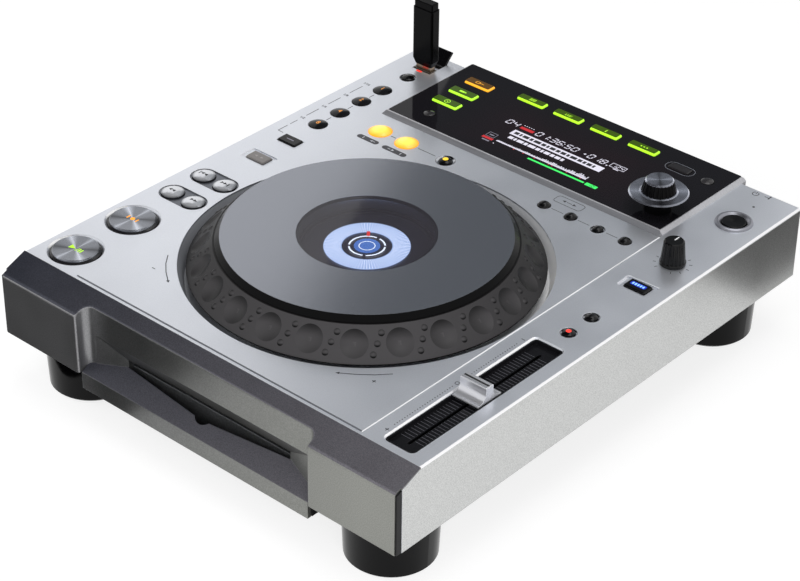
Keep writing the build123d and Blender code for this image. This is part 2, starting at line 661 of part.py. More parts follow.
def fascia_ends():
    """Ends of the front wall, and the strip's thin edges lapping over the side walls."""
    back = FRONT_Y + FASCIA_WALL
    lap_y = FRONT_Y + CORNER_D
    under = [(lap_y, slope_z(lap_y) - STRIP_EDGE_T), (FASCIA_TOP_Y, DECK_Z - STRIP_EDGE_T)]
    wall = [(FRONT_Y, BASE_Z), (FRONT_Y, BEND_Z), (lap_y, slope_z(lap_y)), under[0],
            (back, slope_z(back) - WALL), (back, BASE_Z)]
    lap = [(lap_y, slope_z(lap_y)), (FASCIA_TOP_Y, DECK_Z), under[1], under[0]]
    ends = []
    for side in (-1, 1):
        wall_x = sorted((side * (INNER_W - BITE), side * (HALF_W - CORNER_W - STRIP_EDGE_INSET)))
        end = prism_x(wall, wall_x)
        bend = end.edges().filter_by(Axis.X).sort_by_distance((wall_x[0], FRONT_Y, BEND_Z))[0]
        ends.append(fillet(bend, BEND_R))
        lap_x = sorted((side * (INNER_W - BITE), side * (HALF_W - STRIP_EDGE_INSET)))
        ends.append(prism_x(lap, lap_x))
    return ends


def slot_funnel():
    """Cutter from the recess to the slot: the hood slants back and the cheeks close in."""
    apron_z = SLOT_Z - (SLOT_Z - LIP_Z) * (SLOT_Y - RECESS_Y) / (SLOT_Y - LIP_Y)
    mouth = Plane.XZ.offset(-RECESS_Y + MERGE) * Pos(0, (HOOD_Z + apron_z) / 2) * Rectangle(
        2 * HOOD_HALF_W, HOOD_Z - apron_z)
    slot = Plane.XZ.offset(-SLOT_Y) * Pos(0, (SLOT_Z + SLOT_TOP_Z) / 2) * Rectangle(
        2 * SLOT_HALF_W, SLOT_H)
    throat = block((-SLOT_HALF_W, SLOT_HALF_W), (SLOT_Y - MERGE, THROAT_Y + CUT), (SLOT_Z, SLOT_TOP_Z))
    return loft([mouth, slot]) + throat


def slot_vee():
    """Cutter that opens the slot's lower edge towards the user, with the thumb notch."""
    z = (LIP_LOW_Z, SLOT_Z)
    outline = Polyline((-SLOT_HALF_W, SLOT_Y), (-VEE_HALF_W, SLOT_Y - VEE_D),
                       (VEE_HALF_W, SLOT_Y - VEE_D), (SLOT_HALF_W, SLOT_Y),
                       (SLOT_HALF_W, THROAT_Y + CUT), (-SLOT_HALF_W, THROAT_Y + CUT), close=True)
    vee = Pos(0, 0, z[0]) * extrude(make_face(outline), z[1] - z[0])
    return vee + drum(NOTCH_R, z, 0, SLOT_Y)


def slot_apron():
    """Apron in front of the slot, bent down into the lip below the case."""
    back = RECESS_Y + CUT
    rise = (SLOT_Z - LIP_Z) / (SLOT_Y - LIP_Y)
    inner = LIP_Y + LIP_T
    outline = [(LIP_Y, LIP_LOW_Z), (LIP_Y, LIP_Z), (back, LIP_Z + (back - LIP_Y) * rise),
               (back, BASE_Z), (inner, BASE_Z - PAN_CLEAR), (inner, LIP_LOW_Z)]
    apron = prism_x(outline, (-LIP_HALF_W, LIP_HALF_W))
    return fillet(apron.edges().filter_by(Axis.X).sort_by_distance((0, LIP_Y, LIP_Z))[0], LIP_BEND_R)


def front_fascia():
    """Gunmetal front: end blocks, hand recess, hood and apron round the disc slot."""
    front = fascia_outline()
    inner_z = BEND_Z - WALL
    hollow = [(FRONT_Y + FASCIA_WALL, BASE_Z - CUT), (FRONT_Y + FASCIA_WALL, inner_z),
              (FASCIA_TOP_Y + CUT, DECK_UNDER), (FASCIA_TOP_Y + CUT, BASE_Z - CUT)]
    core = RECESS_HALF_W + RECESS_WALL
    front -= [prism_x(hollow, (core, HALF_W)), prism_x(hollow, (-HALF_W, -core))]
    recess = block((-RECESS_HALF_W, RECESS_HALF_W), (FRONT_Y - RECESS_D, RECESS_Y),
                   (BASE_Z - CUT, DECK_Z + CUT))
    rear_corners = recess.edges().filter_by(Axis.Z).group_by(Axis.Y)[-1]
    front -= fillet(rear_corners, RECESS_CORNER_R)
    rim = front.edges().filter_by(Axis.X).sort_by_distance((0, RECESS_Y, slope_z(RECESS_Y)))[0]
    front = fillet(rim, RECESS_EDGE_R)
    front = front - slot_funnel() + slot_apron() + fascia_ends()
    return front - slot_vee()


def base_chassis():
    """Black bottom tray with the drive's pan let down from it and the corner strips."""
    front = FRONT_Y + FASCIA_WALL + SLIP
    back = REAR_PANEL_Y - REAR_T - SLIP
    floor = (BASE_Z, CHASSIS_TOP)
    tray = block((-INNER_W, INNER_W), (front, back), floor)
    pan_y = (LIP_Y + LIP_T + SLIP, LIP_Y + LIP_T + SLIP + PAN_D)
    pan_z = LIP_LOW_Z + PAN_RISE
    clear_z = BASE_Z + TRAY_CLEAR_H
    inner = PAN_HALF_W - PAN_T
    tray += block((-PAN_HALF_W, PAN_HALF_W), pan_y, (pan_z, CHASSIS_TOP))
    tray -= block((-inner, inner), (pan_y[0] + PAN_T, pan_y[1] - PAN_T), (pan_z + PAN_T, clear_z))
    tray -= block((-inner, inner), (FRONT_Y, pan_y[0] + 2 * PAN_T),
                  (BASE_Z - 2 * PAN_CLEAR, clear_z))
    core = RECESS_HALF_W + RECESS_WALL + SLIP
    tray -= block((-core, core), (FRONT_Y, THROAT_Y + SLIP), (BASE_Z - 2 * PAN_CLEAR, clear_z))
    strip_y = (FRONT_Y + CORNER_SETBACK, FRONT_Y + CORNER_D - SLIP)
    strip = [(strip_y[0], BASE_Z), (strip_y[0], BEND_Z - CORNER_TOP_GAP),
             (strip_y[1], slope_z(strip_y[1]) - CORNER_TOP_GAP), (strip_y[1], BASE_Z)]
    flange_z = (BASE_Z, BEND_Z - CORNER_FLANGE_DROP)
    for side in (-1, 1):
        outer = side * (HALF_W - STRIP_EDGE_INSET - CORNER_STRIP_GAP)
        strip_x = sorted((side * (HALF_W - CORNER_W - STRIP_EDGE_INSET + SLIP), outer))
        flange_x = sorted((side * (INNER_W - CORNER_FLANGE_W), outer))
        tray += prism_x(strip, strip_x)
        tray += block(flange_x, (front, strip_y[1]), flange_z)
    return tray - [drum(SCREW_R + SLIP, (BASE_Z - CUT, clear_z), x, y) for x, y in post_places()]


def feet():
    """Four tall round feet, each with a flange under the case and a bore for its screw."""
    bore_top = FOOT_H - FOOT_BORE_TOP
    foot = [(FOOT_BORE_R, 0), (FOOT_R - FOOT_EDGE, 0), (FOOT_R, FOOT_EDGE),
            (FOOT_TOP_R, FOOT_H - 2 * FOOT_FLANGE_H), (FOOT_FLANGE_R, FOOT_H - FOOT_FLANGE_H),
            (FOOT_FLANGE_R, FOOT_H), (0, FOOT_H), (0, bore_top), (FOOT_BORE_R, bore_top)]
    return all_of(turned(foot, x, y) for x, y in foot_places())


def case_screws():
    """Screws up through the chassis into the case posts."""
    tip = BASE_Z + SCREW_L - SCREW_TIP_GAP
    screw = [(0, BASE_Z - SCREW_HEAD_H), (SCREW_HEAD_R, BASE_Z - SCREW_HEAD_H),
             (SCREW_HEAD_R, BASE_Z), (SCREW_R, BASE_Z), (SCREW_R, tip), (0, tip)]
    return all_of(turned(screw, x, y) for x, y in post_places())


def rear_panel():
    """Plate across the rear with the cut-outs for the sockets and the power key."""
    y = (REAR_PANEL_Y - REAR_T, REAR_PANEL_Y)
    through = (y[0] - CUT, y[1] + CUT)
    plate = block((-INNER_W, INNER_W), y, (BASE_Z, DECK_UNDER - SLIP))
    plate -= [bar(PHONO_SHOULDER_R + SLIP, x, through, SOCKET_Z) for x in PHONO_XS]
    plate -= bar(MINI_JACK_COLLAR_R + SLIP, MINI_JACK_X, through, SOCKET_Z)
    plate -= bar(POWER_R + GAP, POWER_X, through, SOCKET_Z)
    for x, size in ((NETWORK_X, NETWORK), (USB_B_X, USB_B), (INLET_X, INLET)):
        half_w, half_h = size[0] / 2 + SLIP, size[1] / 2 + SLIP
        plate -= block((x - half_w, x + half_w), through, (SOCKET_Z - half_h, SOCKET_Z + half_h))
    return plate


# ---- display ---------------------------------------------------------------------------------
def display_housing():
    """Bevelled silver frame round the display, hooked over the rear edge."""
    hook_z = DECK_Z - HOOK_DROP
    outline = [(DISPLAY_FRONT_Y, DECK_Z), (DISPLAY_FRONT_Y + DISPLAY_BEVEL_Y, DISPLAY_TOP),
               (DISPLAY_BACK_Y, DISPLAY_TOP), (DISPLAY_BACK_Y, hook_z),
               (REAR_Y + SEAT_GAP, hook_z), (REAR_Y + SEAT_GAP, DECK_Z)]
    frame = prism_x(outline, (-DISPLAY_HALF_W, DISPLAY_HALF_W))
    back = frame.edges().filter_by(Axis.X).sort_by_distance((0, DISPLAY_BACK_Y, DISPLAY_TOP))[0]
    frame = fillet(back, DISPLAY_BACK_R)
    x = DISPLAY_HALF_W
    bevel = Polyline((x, DECK_Z), (x - DISPLAY_BEVEL_X, DISPLAY_TOP),
                     (x - DISPLAY_BEVEL_X, DISPLAY_TOP + CUT), (x + CUT, DISPLAY_TOP + CUT),
                     (x + CUT, DECK_Z), close=True)
    side = extrude(Plane.XZ * make_face(bevel), BODY_D, both=True)
    frame = frame - side - mirror(side, Plane.YZ)
    seat = WINDOW_HALF_W + SLIP
    frame -= block((-seat, seat), (WINDOW_Y[0] - SLIP, WINDOW_Y[1] + SLIP),
                   (WINDOW_UNDER, DISPLAY_TOP + CUT))
    clear = WINDOW_HALF_W - WINDOW_LEDGE
    return frame - block((-clear, clear), (WINDOW_Y[0] + WINDOW_LEDGE, REAR_PANEL_Y - DECK_RIM),
                         (DECK_Z - CUT, DISPLAY_TOP + CUT))


def display_window():
    """Dark window with holes for its keys and the selector's shaft."""
    depth = WINDOW_Y[1] - WINDOW_Y[0]
    plate = pad((2 * WINDOW_HALF_W, depth), WINDOW_CORNER, (WINDOW_UNDER, WINDOW_TOP), 0,
                sum(WINDOW_Y) / 2)
    through = (WINDOW_UNDER - CUT, WINDOW_TOP + CUT)
    for _, x, y, width, length in WINDOW_KEYS:
        hole = (width + 2 * GAP, length + 2 * GAP)
        plate -= pad(hole, RECT_KEY_CORNER, through, x, DISPLAY_Y + y)
    plate -= [drum(r + GAP, through, x, DISPLAY_Y + y) for _, x, y, r in WINDOW_ROUND_KEYS]
    return plate - drum(SHAFT_R + RUNNING, through, SELECTOR_X, DISPLAY_Y + SELECTOR_Y)


# ---- jog wheel -------------------------------------------------------------------------------
def jog_well():
    """Spun basin under the panel, with the hollow post that the wheel turns on."""
    top = PANEL_UNDER - SLIP
    post_top = JOG_DISPLAY_Z - JOG_DISPLAY_T
    bore = JOG_POST_R - JOG_POST_T
    cap = post_top - JOG_POST_CAP_T
    outline = [(WELL_FLOOR_R, WELL_Z), (WELL_R, top), (WELL_OUTER_R, top), (WELL_OUTER_R, DECK_UNDER),
               (WELL_FLOOR_R + WELL_FLOOR_T, WELL_Z - WELL_FLOOR_T), (bore, WELL_Z - WELL_FLOOR_T),
               (bore, cap), (0, cap), (0, post_top), (JOG_POST_R, post_top), (JOG_POST_R, WELL_Z)]
    return turned(outline, 0, JOG_Y)


def jog_display():
    """Round display on the post, with a raised rim."""
    low = JOG_DISPLAY_Z - JOG_DISPLAY_T
    face = JOG_DISPLAY_Z - JOG_DISPLAY_SINK
    rim = [JOG_DISPLAY_R - width for width in JOG_DISPLAY_RIM]
    outline = [(0, low), (JOG_DISPLAY_R, low), (JOG_DISPLAY_R, JOG_DISPLAY_Z),
               (rim[0], JOG_DISPLAY_Z), (rim[1], face), (0, face)]
    return turned(outline, 0, JOG_Y)


def on_jog_slope(radius, lift, angle):
    """Place on the grip ring's slope, facing out of it, lifted along its normal."""
    z = JOG_EDGE_Z + JOG_R - radius
    return Pos(0, JOG_Y, z) * Rot(0, 0, angle) * Pos(radius, 0, 0) * Rot(0, 45, 0) * Pos(0, 0, lift)


def jog_ring():
    """Grip ring with finger dimples and rows of bumps, and the hub that turns on the post."""
    hub_r = JOG_POST_R + RUNNING
    web = JOG_SHOULDER_Z - JOG_WEB_DROP
    under_web = web - JOG_WEB_T
    shell = JOG_SHELL_T * DIAGONAL
    slant = JOG_EDGE_Z + JOG_R - shell
    lip_r = JOG_PLATE_SKIRT_R - JOG_LIP_LAP
    hub_z = WELL_Z + JOG_HUB_RISE
    outline = [(hub_r, hub_z), (hub_r + JOG_HUB_T, hub_z), (hub_r + JOG_HUB_T, under_web),
               (slant - under_web, under_web), (slant - JOG_SKIRT_Z, JOG_SKIRT_Z),
               (JOG_R, JOG_SKIRT_Z), (JOG_R, JOG_EDGE_Z), (JOG_SHOULDER_R, JOG_SHOULDER_Z),
               (lip_r, JOG_SHOULDER_Z), (lip_r, slant - lip_r), (slant - web, web), (hub_r, web)]
    ring = turned(outline, 0, JOG_Y)
    pitch = 360 / DIMPLE_COUNT
    sphere = (DIMPLE_R ** 2 + DIMPLE_DEPTH ** 2) / (2 * DIMPLE_DEPTH)
    ball = Sphere(sphere)
    for i in range(DIMPLE_COUNT):
        angle = DIMPLE_PHASE + i * pitch
        ring -= on_jog_slope(DIMPLE_RING_R, sphere - DIMPLE_DEPTH, angle) * ball
    sphere = (BUMP_R ** 2 + BUMP_H ** 2) / (2 * BUMP_H)
    dot = Pos(0, 0, BUMP_H - sphere) * Sphere(sphere)
    dot &= Pos(0, 0, BUMP_H) * Box(4 * BUMP_R, 4 * BUMP_R, 2 * BUMP_R)
    dots = []
    for i in range(DIMPLE_COUNT):
        angle = DIMPLE_PHASE + (i + 0.5) * pitch
        for step in (-1, 0, 1):
            place = on_jog_slope(DIMPLE_RING_R - step * BUMP_PITCH / DIAGONAL, 0, angle)
            dots.append(place * Pos(0, step * BUMP_SLANT, 0) * dot)
    return ring + dots


def jog_plate():
    """Touch plate with a bevelled edge and the tube round its window."""
    top, under = JOG_TOP, JOG_TOP - JOG_PLATE_T
    skirt = JOG_SHOULDER_Z + JOG_PRESS + JOG_SKIRT_GAP
    low = JOG_DISPLAY_Z + JOG_PRESS + JOG_TUBE_CLEAR
    seat, tube, tube_out = JOG_WINDOW_R + SLIP, JOG_TUBE_R, JOG_TUBE_R + JOG_TUBE_T
    outline = [(JOG_PLATE_SKIRT_R, skirt), (JOG_PLATE_R, top), (seat, top), (seat, under),
               (tube, under), (tube, low), (tube_out, low), (tube_out, under),
               (JOG_PLATE_R - JOG_LIP_LAP, under), (JOG_PLATE_SKIRT_R - JOG_LIP_LAP, skirt)]
    return turned(outline, 0, JOG_Y)


def jog_window():
    """Clear disc in the middle of the touch plate."""
    return drum(JOG_WINDOW_R, (JOG_TOP - JOG_PLATE_T, JOG_TOP - JOG_WINDOW_DROP), 0, JOG_Y)


# ---- keys ------------------------------------------------------------------------------------
def round_key(x, y, radius, dome, surface, under=DECK_UNDER):
    """Domed key with a retaining flange below the surface and a stem towards the board."""
    seat = under - SEAT_GAP
    points = [(0, STEM_Z), (STEM_R, STEM_Z), (STEM_R, seat - FLANGE_T),
              (radius + FLANGE_LIP, seat - FLANGE_T), (radius + FLANGE_LIP, seat), (radius, seat),
              (radius, surface + KEY_EDGE)]
    return domed(points, dome, x, y)


def rect_key(x, y, size, top, under=DECK_UNDER):
    """Rectangular key with a bevelled cap, retaining flange and stem."""
    seat = under - SEAT_GAP
    cap = pad(size, RECT_KEY_CORNER, (seat - FLANGE_T, top), x, y)
    cap = chamfer(cap.faces().sort_by(Axis.Z)[-1].edges(), RECT_KEY_CHAMFER)
    flange = (size[0] + 2 * FLANGE_LIP, size[1] + 2 * FLANGE_LIP)
    cap += pad(flange, RECT_KEY_CORNER, (seat - FLANGE_T, seat), x, y)
    return cap + drum(STEM_R, (STEM_Z, seat - FLANGE_T + BITE), x, y)


def big_key(y):
    """Play or cue key: dark skirt with a spun metal face."""
    seat = DECK_UNDER - SEAT_GAP
    top = DECK_Z + BIG_KEY_PROUD
    step_low, step_high = DECK_Z - BIG_KEY_STEP[0], DECK_Z + BIG_KEY_STEP[1]
    edge_in, edge_down = BIG_KEY_EDGE
    outline = [(0, STEM_Z), (STEM_R, STEM_Z), (STEM_R, seat - FLANGE_T),
               (BIG_KEY_R + FLANGE_LIP, seat - FLANGE_T), (BIG_KEY_R + FLANGE_LIP, seat),
               (BIG_KEY_R, seat), (BIG_KEY_R, step_low), (BIG_KEY_FACE_R, step_high),
               (BIG_KEY_FACE_R, top - edge_down), (BIG_KEY_FACE_R - edge_in, top),
               (0, top - BIG_KEY_HOLLOW)]
    return turned(outline, BIG_KEY_X, y)


def eject_key():
    """Flat round key inside the eject ring, slightly dished."""
    seat = DECK_UNDER - SEAT_GAP
    top = DECK_Z + EJECT_RING_H - EJECT_KEY_DROP
    outline = [(0, STEM_Z), (STEM_R, STEM_Z), (STEM_R, seat - FLANGE_T),
               (EJECT_KEY_R + FLANGE_LIP, seat - FLANGE_T), (EJECT_KEY_R + FLANGE_LIP, seat),
               (EJECT_KEY_R, seat), (EJECT_KEY_R, top - EJECT_KEY_EDGE),
               (EJECT_KEY_R - EJECT_KEY_EDGE, top), (0, top - EJECT_KEY_HOLLOW)]
    return turned(outline, RIGHT_X, EJECT_Y)


def keys():
    """Every push key, by name."""
    made = {name: round_key(x, y, r, dome, DECK_Z) for name, x, y, r, dome in DECK_KEYS}
    made.update({name: round_key(x, ROW_Y, r, dome, PANEL_TOP) for name, x, r, dome in ROW_KEYS})
    for name, x, y, r, _ in DISH_KEYS:
        made[name] = round_key(x, y, r, DISH_KEY_DOME, PANEL_TOP if y == ROW_Y else DECK_Z)
    for name, y in BIG_KEY_YS.items():
        made[name] = big_key(y)
    made["direction_key"] = rect_key(LEFT_X, DIRECTION_Y, RECT_KEY, DECK_Z + DIRECTION_PROUD)
    made["loop_mode_key"] = rect_key(LEFT_X, LOOP_MODE_Y, RECT_KEY, DECK_Z + LOOP_MODE_PROUD)
    made["jog_mode_key"] = rect_key(RIGHT_X, JOG_MODE_Y, RECT_KEY, DECK_Z + JOG_MODE_PROUD)
    made["eject_key"] = eject_key()
    top = WINDOW_TOP + WINDOW_KEY_PROUD
    for name, x, y, width, length in WINDOW_KEYS:
        made[name] = rect_key(x, DISPLAY_Y + y, (width, length), top, WINDOW_UNDER)
    for name, x, y, r in WINDOW_ROUND_KEYS:
        made[name] = round_key(x, DISPLAY_Y + y, r, WINDOW_KEY_DOME, WINDOW_TOP, WINDOW_UNDER)
    return made


def key_dish(x, y, radius, dish, surface):
    """Metal dish round a small key."""
    hole = radius + GAP
    outline = [(hole, DECK_UNDER), (dish, DECK_UNDER), (dish, surface), (dish - DISH_LIP, surface),
               (hole + DISH_FLOOR, surface - DISH_D), (hole, surface - DISH_D)]
    return turned(outline, x, y)


def eject_ring():
    """Raised ring round the eject key, coned towards it."""
    hole = EJECT_KEY_R + GAP
    low, high = DECK_Z, DECK_Z + EJECT_RING_H
    edge_in, edge_down = EJECT_RING_EDGE
    land = [EJECT_RING_R - inset for inset in EJECT_RING_LAND]
    outline = [(hole, DECK_UNDER), (EJECT_NECK_R, DECK_UNDER), (EJECT_NECK_R, low),
               (EJECT_RING_R, low), (EJECT_RING_R - edge_in, high - edge_down), (land[0], high),
               (land[1], high), (hole, low)]
    return turned(outline, RIGHT_X, EJECT_Y)


def tempo_tray():
    """Tray under the tempo slider, slotted for its stem."""
    floor = DECK_Z - TRAY_DEPTH
    tray = pad((TRAY_W, TRAY_L), TRAY_CORNER, (floor - TRAY_T, DECK_Z - TRAY_DROP), TEMPO_X, TEMPO_Y)
    inner = (TRAY_W - 2 * TRAY_T, TRAY_L - 2 * TRAY_T)
    tray -= pad(inner, TRAY_CORNER - TRAY_T, (floor, DECK_Z), TEMPO_X, TEMPO_Y)
    slot = (TRAY_SLOT_W, TRAY_SLOT_L)
    return tray - pad(slot, TRAY_SLOT_W / 2 - MERGE, (floor - 2 * TRAY_T, DECK_Z), TEMPO_X, TEMPO_Y)


def control_trims():
    """Fixed trim let into the deck: key dishes, eject ring and slider tray."""
    dishes = [key_dish(x, y, r, dish, PANEL_TOP if y == ROW_Y else DECK_Z)
              for _, x, y, r, dish in DISH_KEYS]
    return all_of(dishes + [eject_ring(), tempo_tray()])


# ---- knobs and slider ------------------------------------------------------------------------
def flutes(count, low, high, z):
    """Ring of grooves that follow a tapering knob, for a foot and a top radius."""
    height = z[1] - z[0]
    lean = (low - high) / height
    groove = extrude(Plane((0, 0, 0), z_dir=(-lean, 0, 1)) * Circle(FLUTE_R), height + 2 * CUT)
    start = Pos(low + FLUTE_OUT, 0, z[0])
    return [Rot(0, 0, 360 * i / count) * start * groove for i in range(count)]


def vinyl_speed_knob():
    """Small fluted knob with a skirt and its shaft."""
    foot = DECK_Z + KNOB_LIFT
    skirt = VINYL_R + VINYL_SKIRT_OUT
    grip = foot + VINYL_SKIRT_H
    top = DECK_Z + VINYL_H
    outline = [(0, STEM_Z), (SHAFT_R, STEM_Z), (SHAFT_R, foot), (skirt, foot),
               (skirt, grip - VINYL_SKIRT_EDGE), (VINYL_R, grip), (VINYL_TOP_R, top - KNOB_EDGE),
               (VINYL_TOP_R - KNOB_EDGE, top), (0, top)]
    knob = turned(outline) - flutes(VINYL_FLUTES, VINYL_R, VINYL_TOP_R, (grip, top))
    return Pos(RIGHT_X, VINYL_Y, 0) * knob


def rotary_selector():
    """Selector: foot, wide flange and fluted knob on one shaft."""
    foot = WINDOW_TOP + KNOB_LIFT
    flange = WINDOW_TOP + SELECTOR_FLANGE_RISE
    grip = flange + SELECTOR_FLANGE_T
    top = WINDOW_TOP + SELECTOR_RISE
    edge_in, edge_up = SELECTOR_FLANGE_EDGE
    round_out, round_down = SELECTOR_FILLET
    outline = [(0, STEM_Z), (SHAFT_R, STEM_Z), (SHAFT_R, foot), (SELECTOR_FOOT_R, foot),
               (SELECTOR_FOOT_R, flange - round_out), (SELECTOR_FLANGE_R - edge_in, flange),
               (SELECTOR_FLANGE_R, flange + edge_up), (SELECTOR_FLANGE_R - edge_up, grip),
               (SELECTOR_KNOB_R + round_out, grip - round_down), (SELECTOR_KNOB_R, grip),
               (SELECTOR_TOP_R, top - SELECTOR_EDGE), (SELECTOR_TOP_R - SELECTOR_EDGE, top),
               (0, top - SELECTOR_HOLLOW)]
    knob = turned(outline) - flutes(SELECTOR_FLUTES, SELECTOR_KNOB_R, SELECTOR_TOP_R, (grip, top))
    return Pos(SELECTOR_X, DISPLAY_Y + SELECTOR_Y, 0) * knob


def tempo_slider():
    """Slider cap flared at both ends, its stem through the tray and the foot below."""
    low = DECK_Z + CAP_RISE
    top = low + CAP_H
    edge = low + CAP_EDGE
    foot, head = CAP_L / 2, CAP_TOP_L / 2
    bend = (head + CAP_BEND[0], edge + CAP_BEND[1])
    waist = edge + CAP_FLARE_H
    outline = [Line((-foot, low), (foot, low)), Line((foot, low), (foot, edge)),
               ThreePointArc((foot, edge), bend, (head, waist)), Line((head, waist), (head, top)),
               Line((head, top), (-head, top)), Line((-head, top), (-head, waist)),
               ThreePointArc((-head, waist), (-bend[0], bend[1]), (-foot, edge)),
               Line((-foot, edge), (-foot, low))]
    cap = extrude(Plane.YZ * make_face(outline), CAP_W / 2, both=True)
    cap = chamfer(cap.faces().sort_by(Axis.Z)[-1].edges(), CAP_CHAMFER)
    foot_top = DECK_Z - TRAY_DEPTH - TRAY_T - SEAT_GAP
    stem_z = (foot_top - BITE, low + BITE)
    cap += Pos(0, 0, sum(stem_z) / 2) * Box(*CAP_STEM, stem_z[1] - stem_z[0])
    foot_z = (foot_top - FLANGE_T, foot_top)
    cap += Pos(0, 0, sum(foot_z) / 2) * Box(*CAP_FOOT, foot_z[1] - foot_z[0])
    return Pos(TEMPO_X, TEMPO_Y, 0) * cap


# ---- media socket, flap and memory stick -----------------------------------------------------
def usb_flap():
    """Flap of the media socket, standing open; its end pins turn in the deck."""
    reach = FLAP_BARREL_R + FLAP_DROP
    plate = block((-FLAP_W / 2, FLAP_W / 2), (-FLAP_L, 0), (reach - FLAP_T, reach))
    plate = chamfer(plate.edges().filter_by(Axis.X).group_by(Axis.Y)[0], FLAP_CHAMFER)
    plate += rod(FLAP_BARREL_R, (-FLAP_W / 2, FLAP_W / 2), 0, 0)
    pin = FLAP_W / 2 + GAP + FLAP_PIN_L - FLAP_PIN_GAP
    plate += rod(FLAP_PIN_R, (-pin, pin), 0, 0)
    axis = Pos(USB_X, USB_Y + FLAP_AXIS_Y, DECK_Z - reach)
    return axis * Rot(-90 - FLAP_LEAN, 0, 0) * plate


def usb_stick():
    """Memory stick standing in the socket: plug, tapered neck, body and cap."""
    z = DECK_Z + PLUG_OUT
    neck = z + STICK_NECK_H
    body = z + STICK_H
    plug_l = PLUG_IN + PLUG_OUT + 2 * BITE
    plug = Pos(0, 0, DECK_Z + (PLUG_OUT - PLUG_IN) / 2) * Box(*PLUG, plug_l)
    foot = Plane((0, 0, z)) * RectangleRounded(
        STICK[0] - STICK_NECK_IN[0], STICK[1] - STICK_NECK_IN[1], STICK_CORNER)
    shoulder = Plane((0, 0, neck)) * RectangleRounded(*STICK, STICK_CORNER)
    stick = plug + loft([foot, shoulder]) + pad(STICK, STICK_CORNER, (neck - MERGE, body))
    cap_size = (STICK[0] - STICK_CAP_IN, STICK[1] - STICK_CAP_IN)
    cap = pad(cap_size, STICK_CORNER - STICK_CAP_R, (body - BITE, body + STICK_CAP_H))
    cap = fillet(cap.faces().sort_by(Axis.Z)[-1].edges(), STICK_CAP_R)
    return Pos(USB_X, USB_Y, 0) * (stick + cap)


# ---- circuit boards and drive ----------------------------------------------------------------
def circuit_boards():
    """Boards under the key columns and the display, with the media socket's can."""
    z = (BOARD_TOP - BOARD_T, BOARD_TOP)
    front, back = FRONT_Y + BOARD_ENDS[0], REAR_PANEL_Y - BOARD_ENDS[1]
    edge = INNER_W - BOARD_SIDE_GAP
    inner = WELL_OUTER_R + BOARD_WELL_GAP
    holes = [drum(POST_R + SLIP, (z[0] - CUT, z[1] + CUT), x, y) for x, y in post_places()]
    boards = []
    for side in (-1, 1):
        board = block(sorted((side * inner, side * edge)), (front, back), z)
        boards.append(board - holes)
    middle = inner - SLIP
    boards.append(block((-middle, middle), (JOG_Y + inner, back), z))
    depth = (DECK_Z - SOCKET_DEPTH, DECK_Z)
    bore = [side + 2 * SOCKET_CLEAR for side in PLUG]
    can = [side + 2 * SOCKET_SHELL_T for side in bore]
    place = Pos(USB_X, USB_Y, sum(depth) / 2)
    boards[0] += place * Box(*can, SOCKET_DEPTH)
    boards[0] -= place * Pos(0, 0, CUT) * Box(*bore, SOCKET_DEPTH)
    return all_of(boards)


def drive_chassis():
    """Drive case with its slot, motor, clamp and bearings for the feed roller."""
    z = (LIP_LOW_Z + DRIVE_RISE, LIP_LOW_Z + DRIVE_RISE + DRIVE_H)
    y = (DRIVE_Y, DRIVE_Y + DRIVE_D)
    case = block((-DRIVE_HALF_W, DRIVE_HALF_W), y, z)
    for ear_y in (y[0] + EAR_INSET, y[1] - EAR_INSET):
        case += block((-PAN_HALF_W - EAR_OUT, PAN_HALF_W + EAR_OUT),
                      (ear_y - EAR_HALF_D, ear_y + EAR_HALF_D), (CHASSIS_TOP, CHASSIS_TOP + DRIVE_T))
    inner = DRIVE_HALF_W - DRIVE_T
    case -= block((-inner, inner), (y[0] + DRIVE_T, y[1] - DRIVE_T), (z[0] + DRIVE_T, z[1] - DRIVE_T))
    case -= block((-SLOT_HALF_W, SLOT_HALF_W), (y[0] - CUT, y[0] + 2 * DRIVE_T), (SLOT_Z, SLOT_TOP_Z))
    disc_z = SLOT_Z + SLOT_H / 2
    motor_top = disc_z - TURNTABLE_T - DISC_CLEAR
    case += drum(MOTOR_R, (z[0] + BITE, motor_top), 0, SPINDLE_Y)
    case -= drum(SHAFT_R + RUNNING, (z[0] + MOTOR_SUMP, motor_top + CUT), 0, SPINDLE_Y)
    case += drum(CLAMP_R, (disc_z + CLAMP_GAP, z[1] - BITE), 0, SPINDLE_Y)
    reach = DRIVE_HALF_W + CUT
    return case - rod(ROLLER_PIN_R + RUNNING, (-reach, reach), ROLLER_Y, ROLLER_Z)


def turntable():
    """Disc hub on the motor's shaft, with a centring cone."""
    seat = SLOT_Z + SLOT_H / 2 - DISC_SEAT_DROP
    low, foot = seat - TURNTABLE_T, LIP_LOW_Z + SPINDLE_FOOT
    cone_foot, cone_head, cone_h = CONE
    outline = [(0, foot), (SHAFT_R, foot), (SHAFT_R, low), (TURNTABLE_R, low), (TURNTABLE_R, seat),
               (cone_foot, seat), (cone_head, seat + cone_h), (0, seat + cone_h)]
    return turned(outline, 0, SPINDLE_Y)


def feed_roller():
    """Rubber roller that draws the disc in, waisted towards the middle."""
    pin = DRIVE_HALF_W - BITE
    outline = [(0, -pin), (ROLLER_PIN_R, -pin), (ROLLER_PIN_R, -ROLLER_HALF_L),
               (ROLLER_R, -ROLLER_HALF_L), (ROLLER_R - ROLLER_WAIST, 0), (ROLLER_R, ROLLER_HALF_L),
               (ROLLER_PIN_R, ROLLER_HALF_L), (ROLLER_PIN_R, pin), (0, pin)]
    return Pos(0, ROLLER_Y, ROLLER_Z) * Rot(0, 90, 0) * turned(outline)


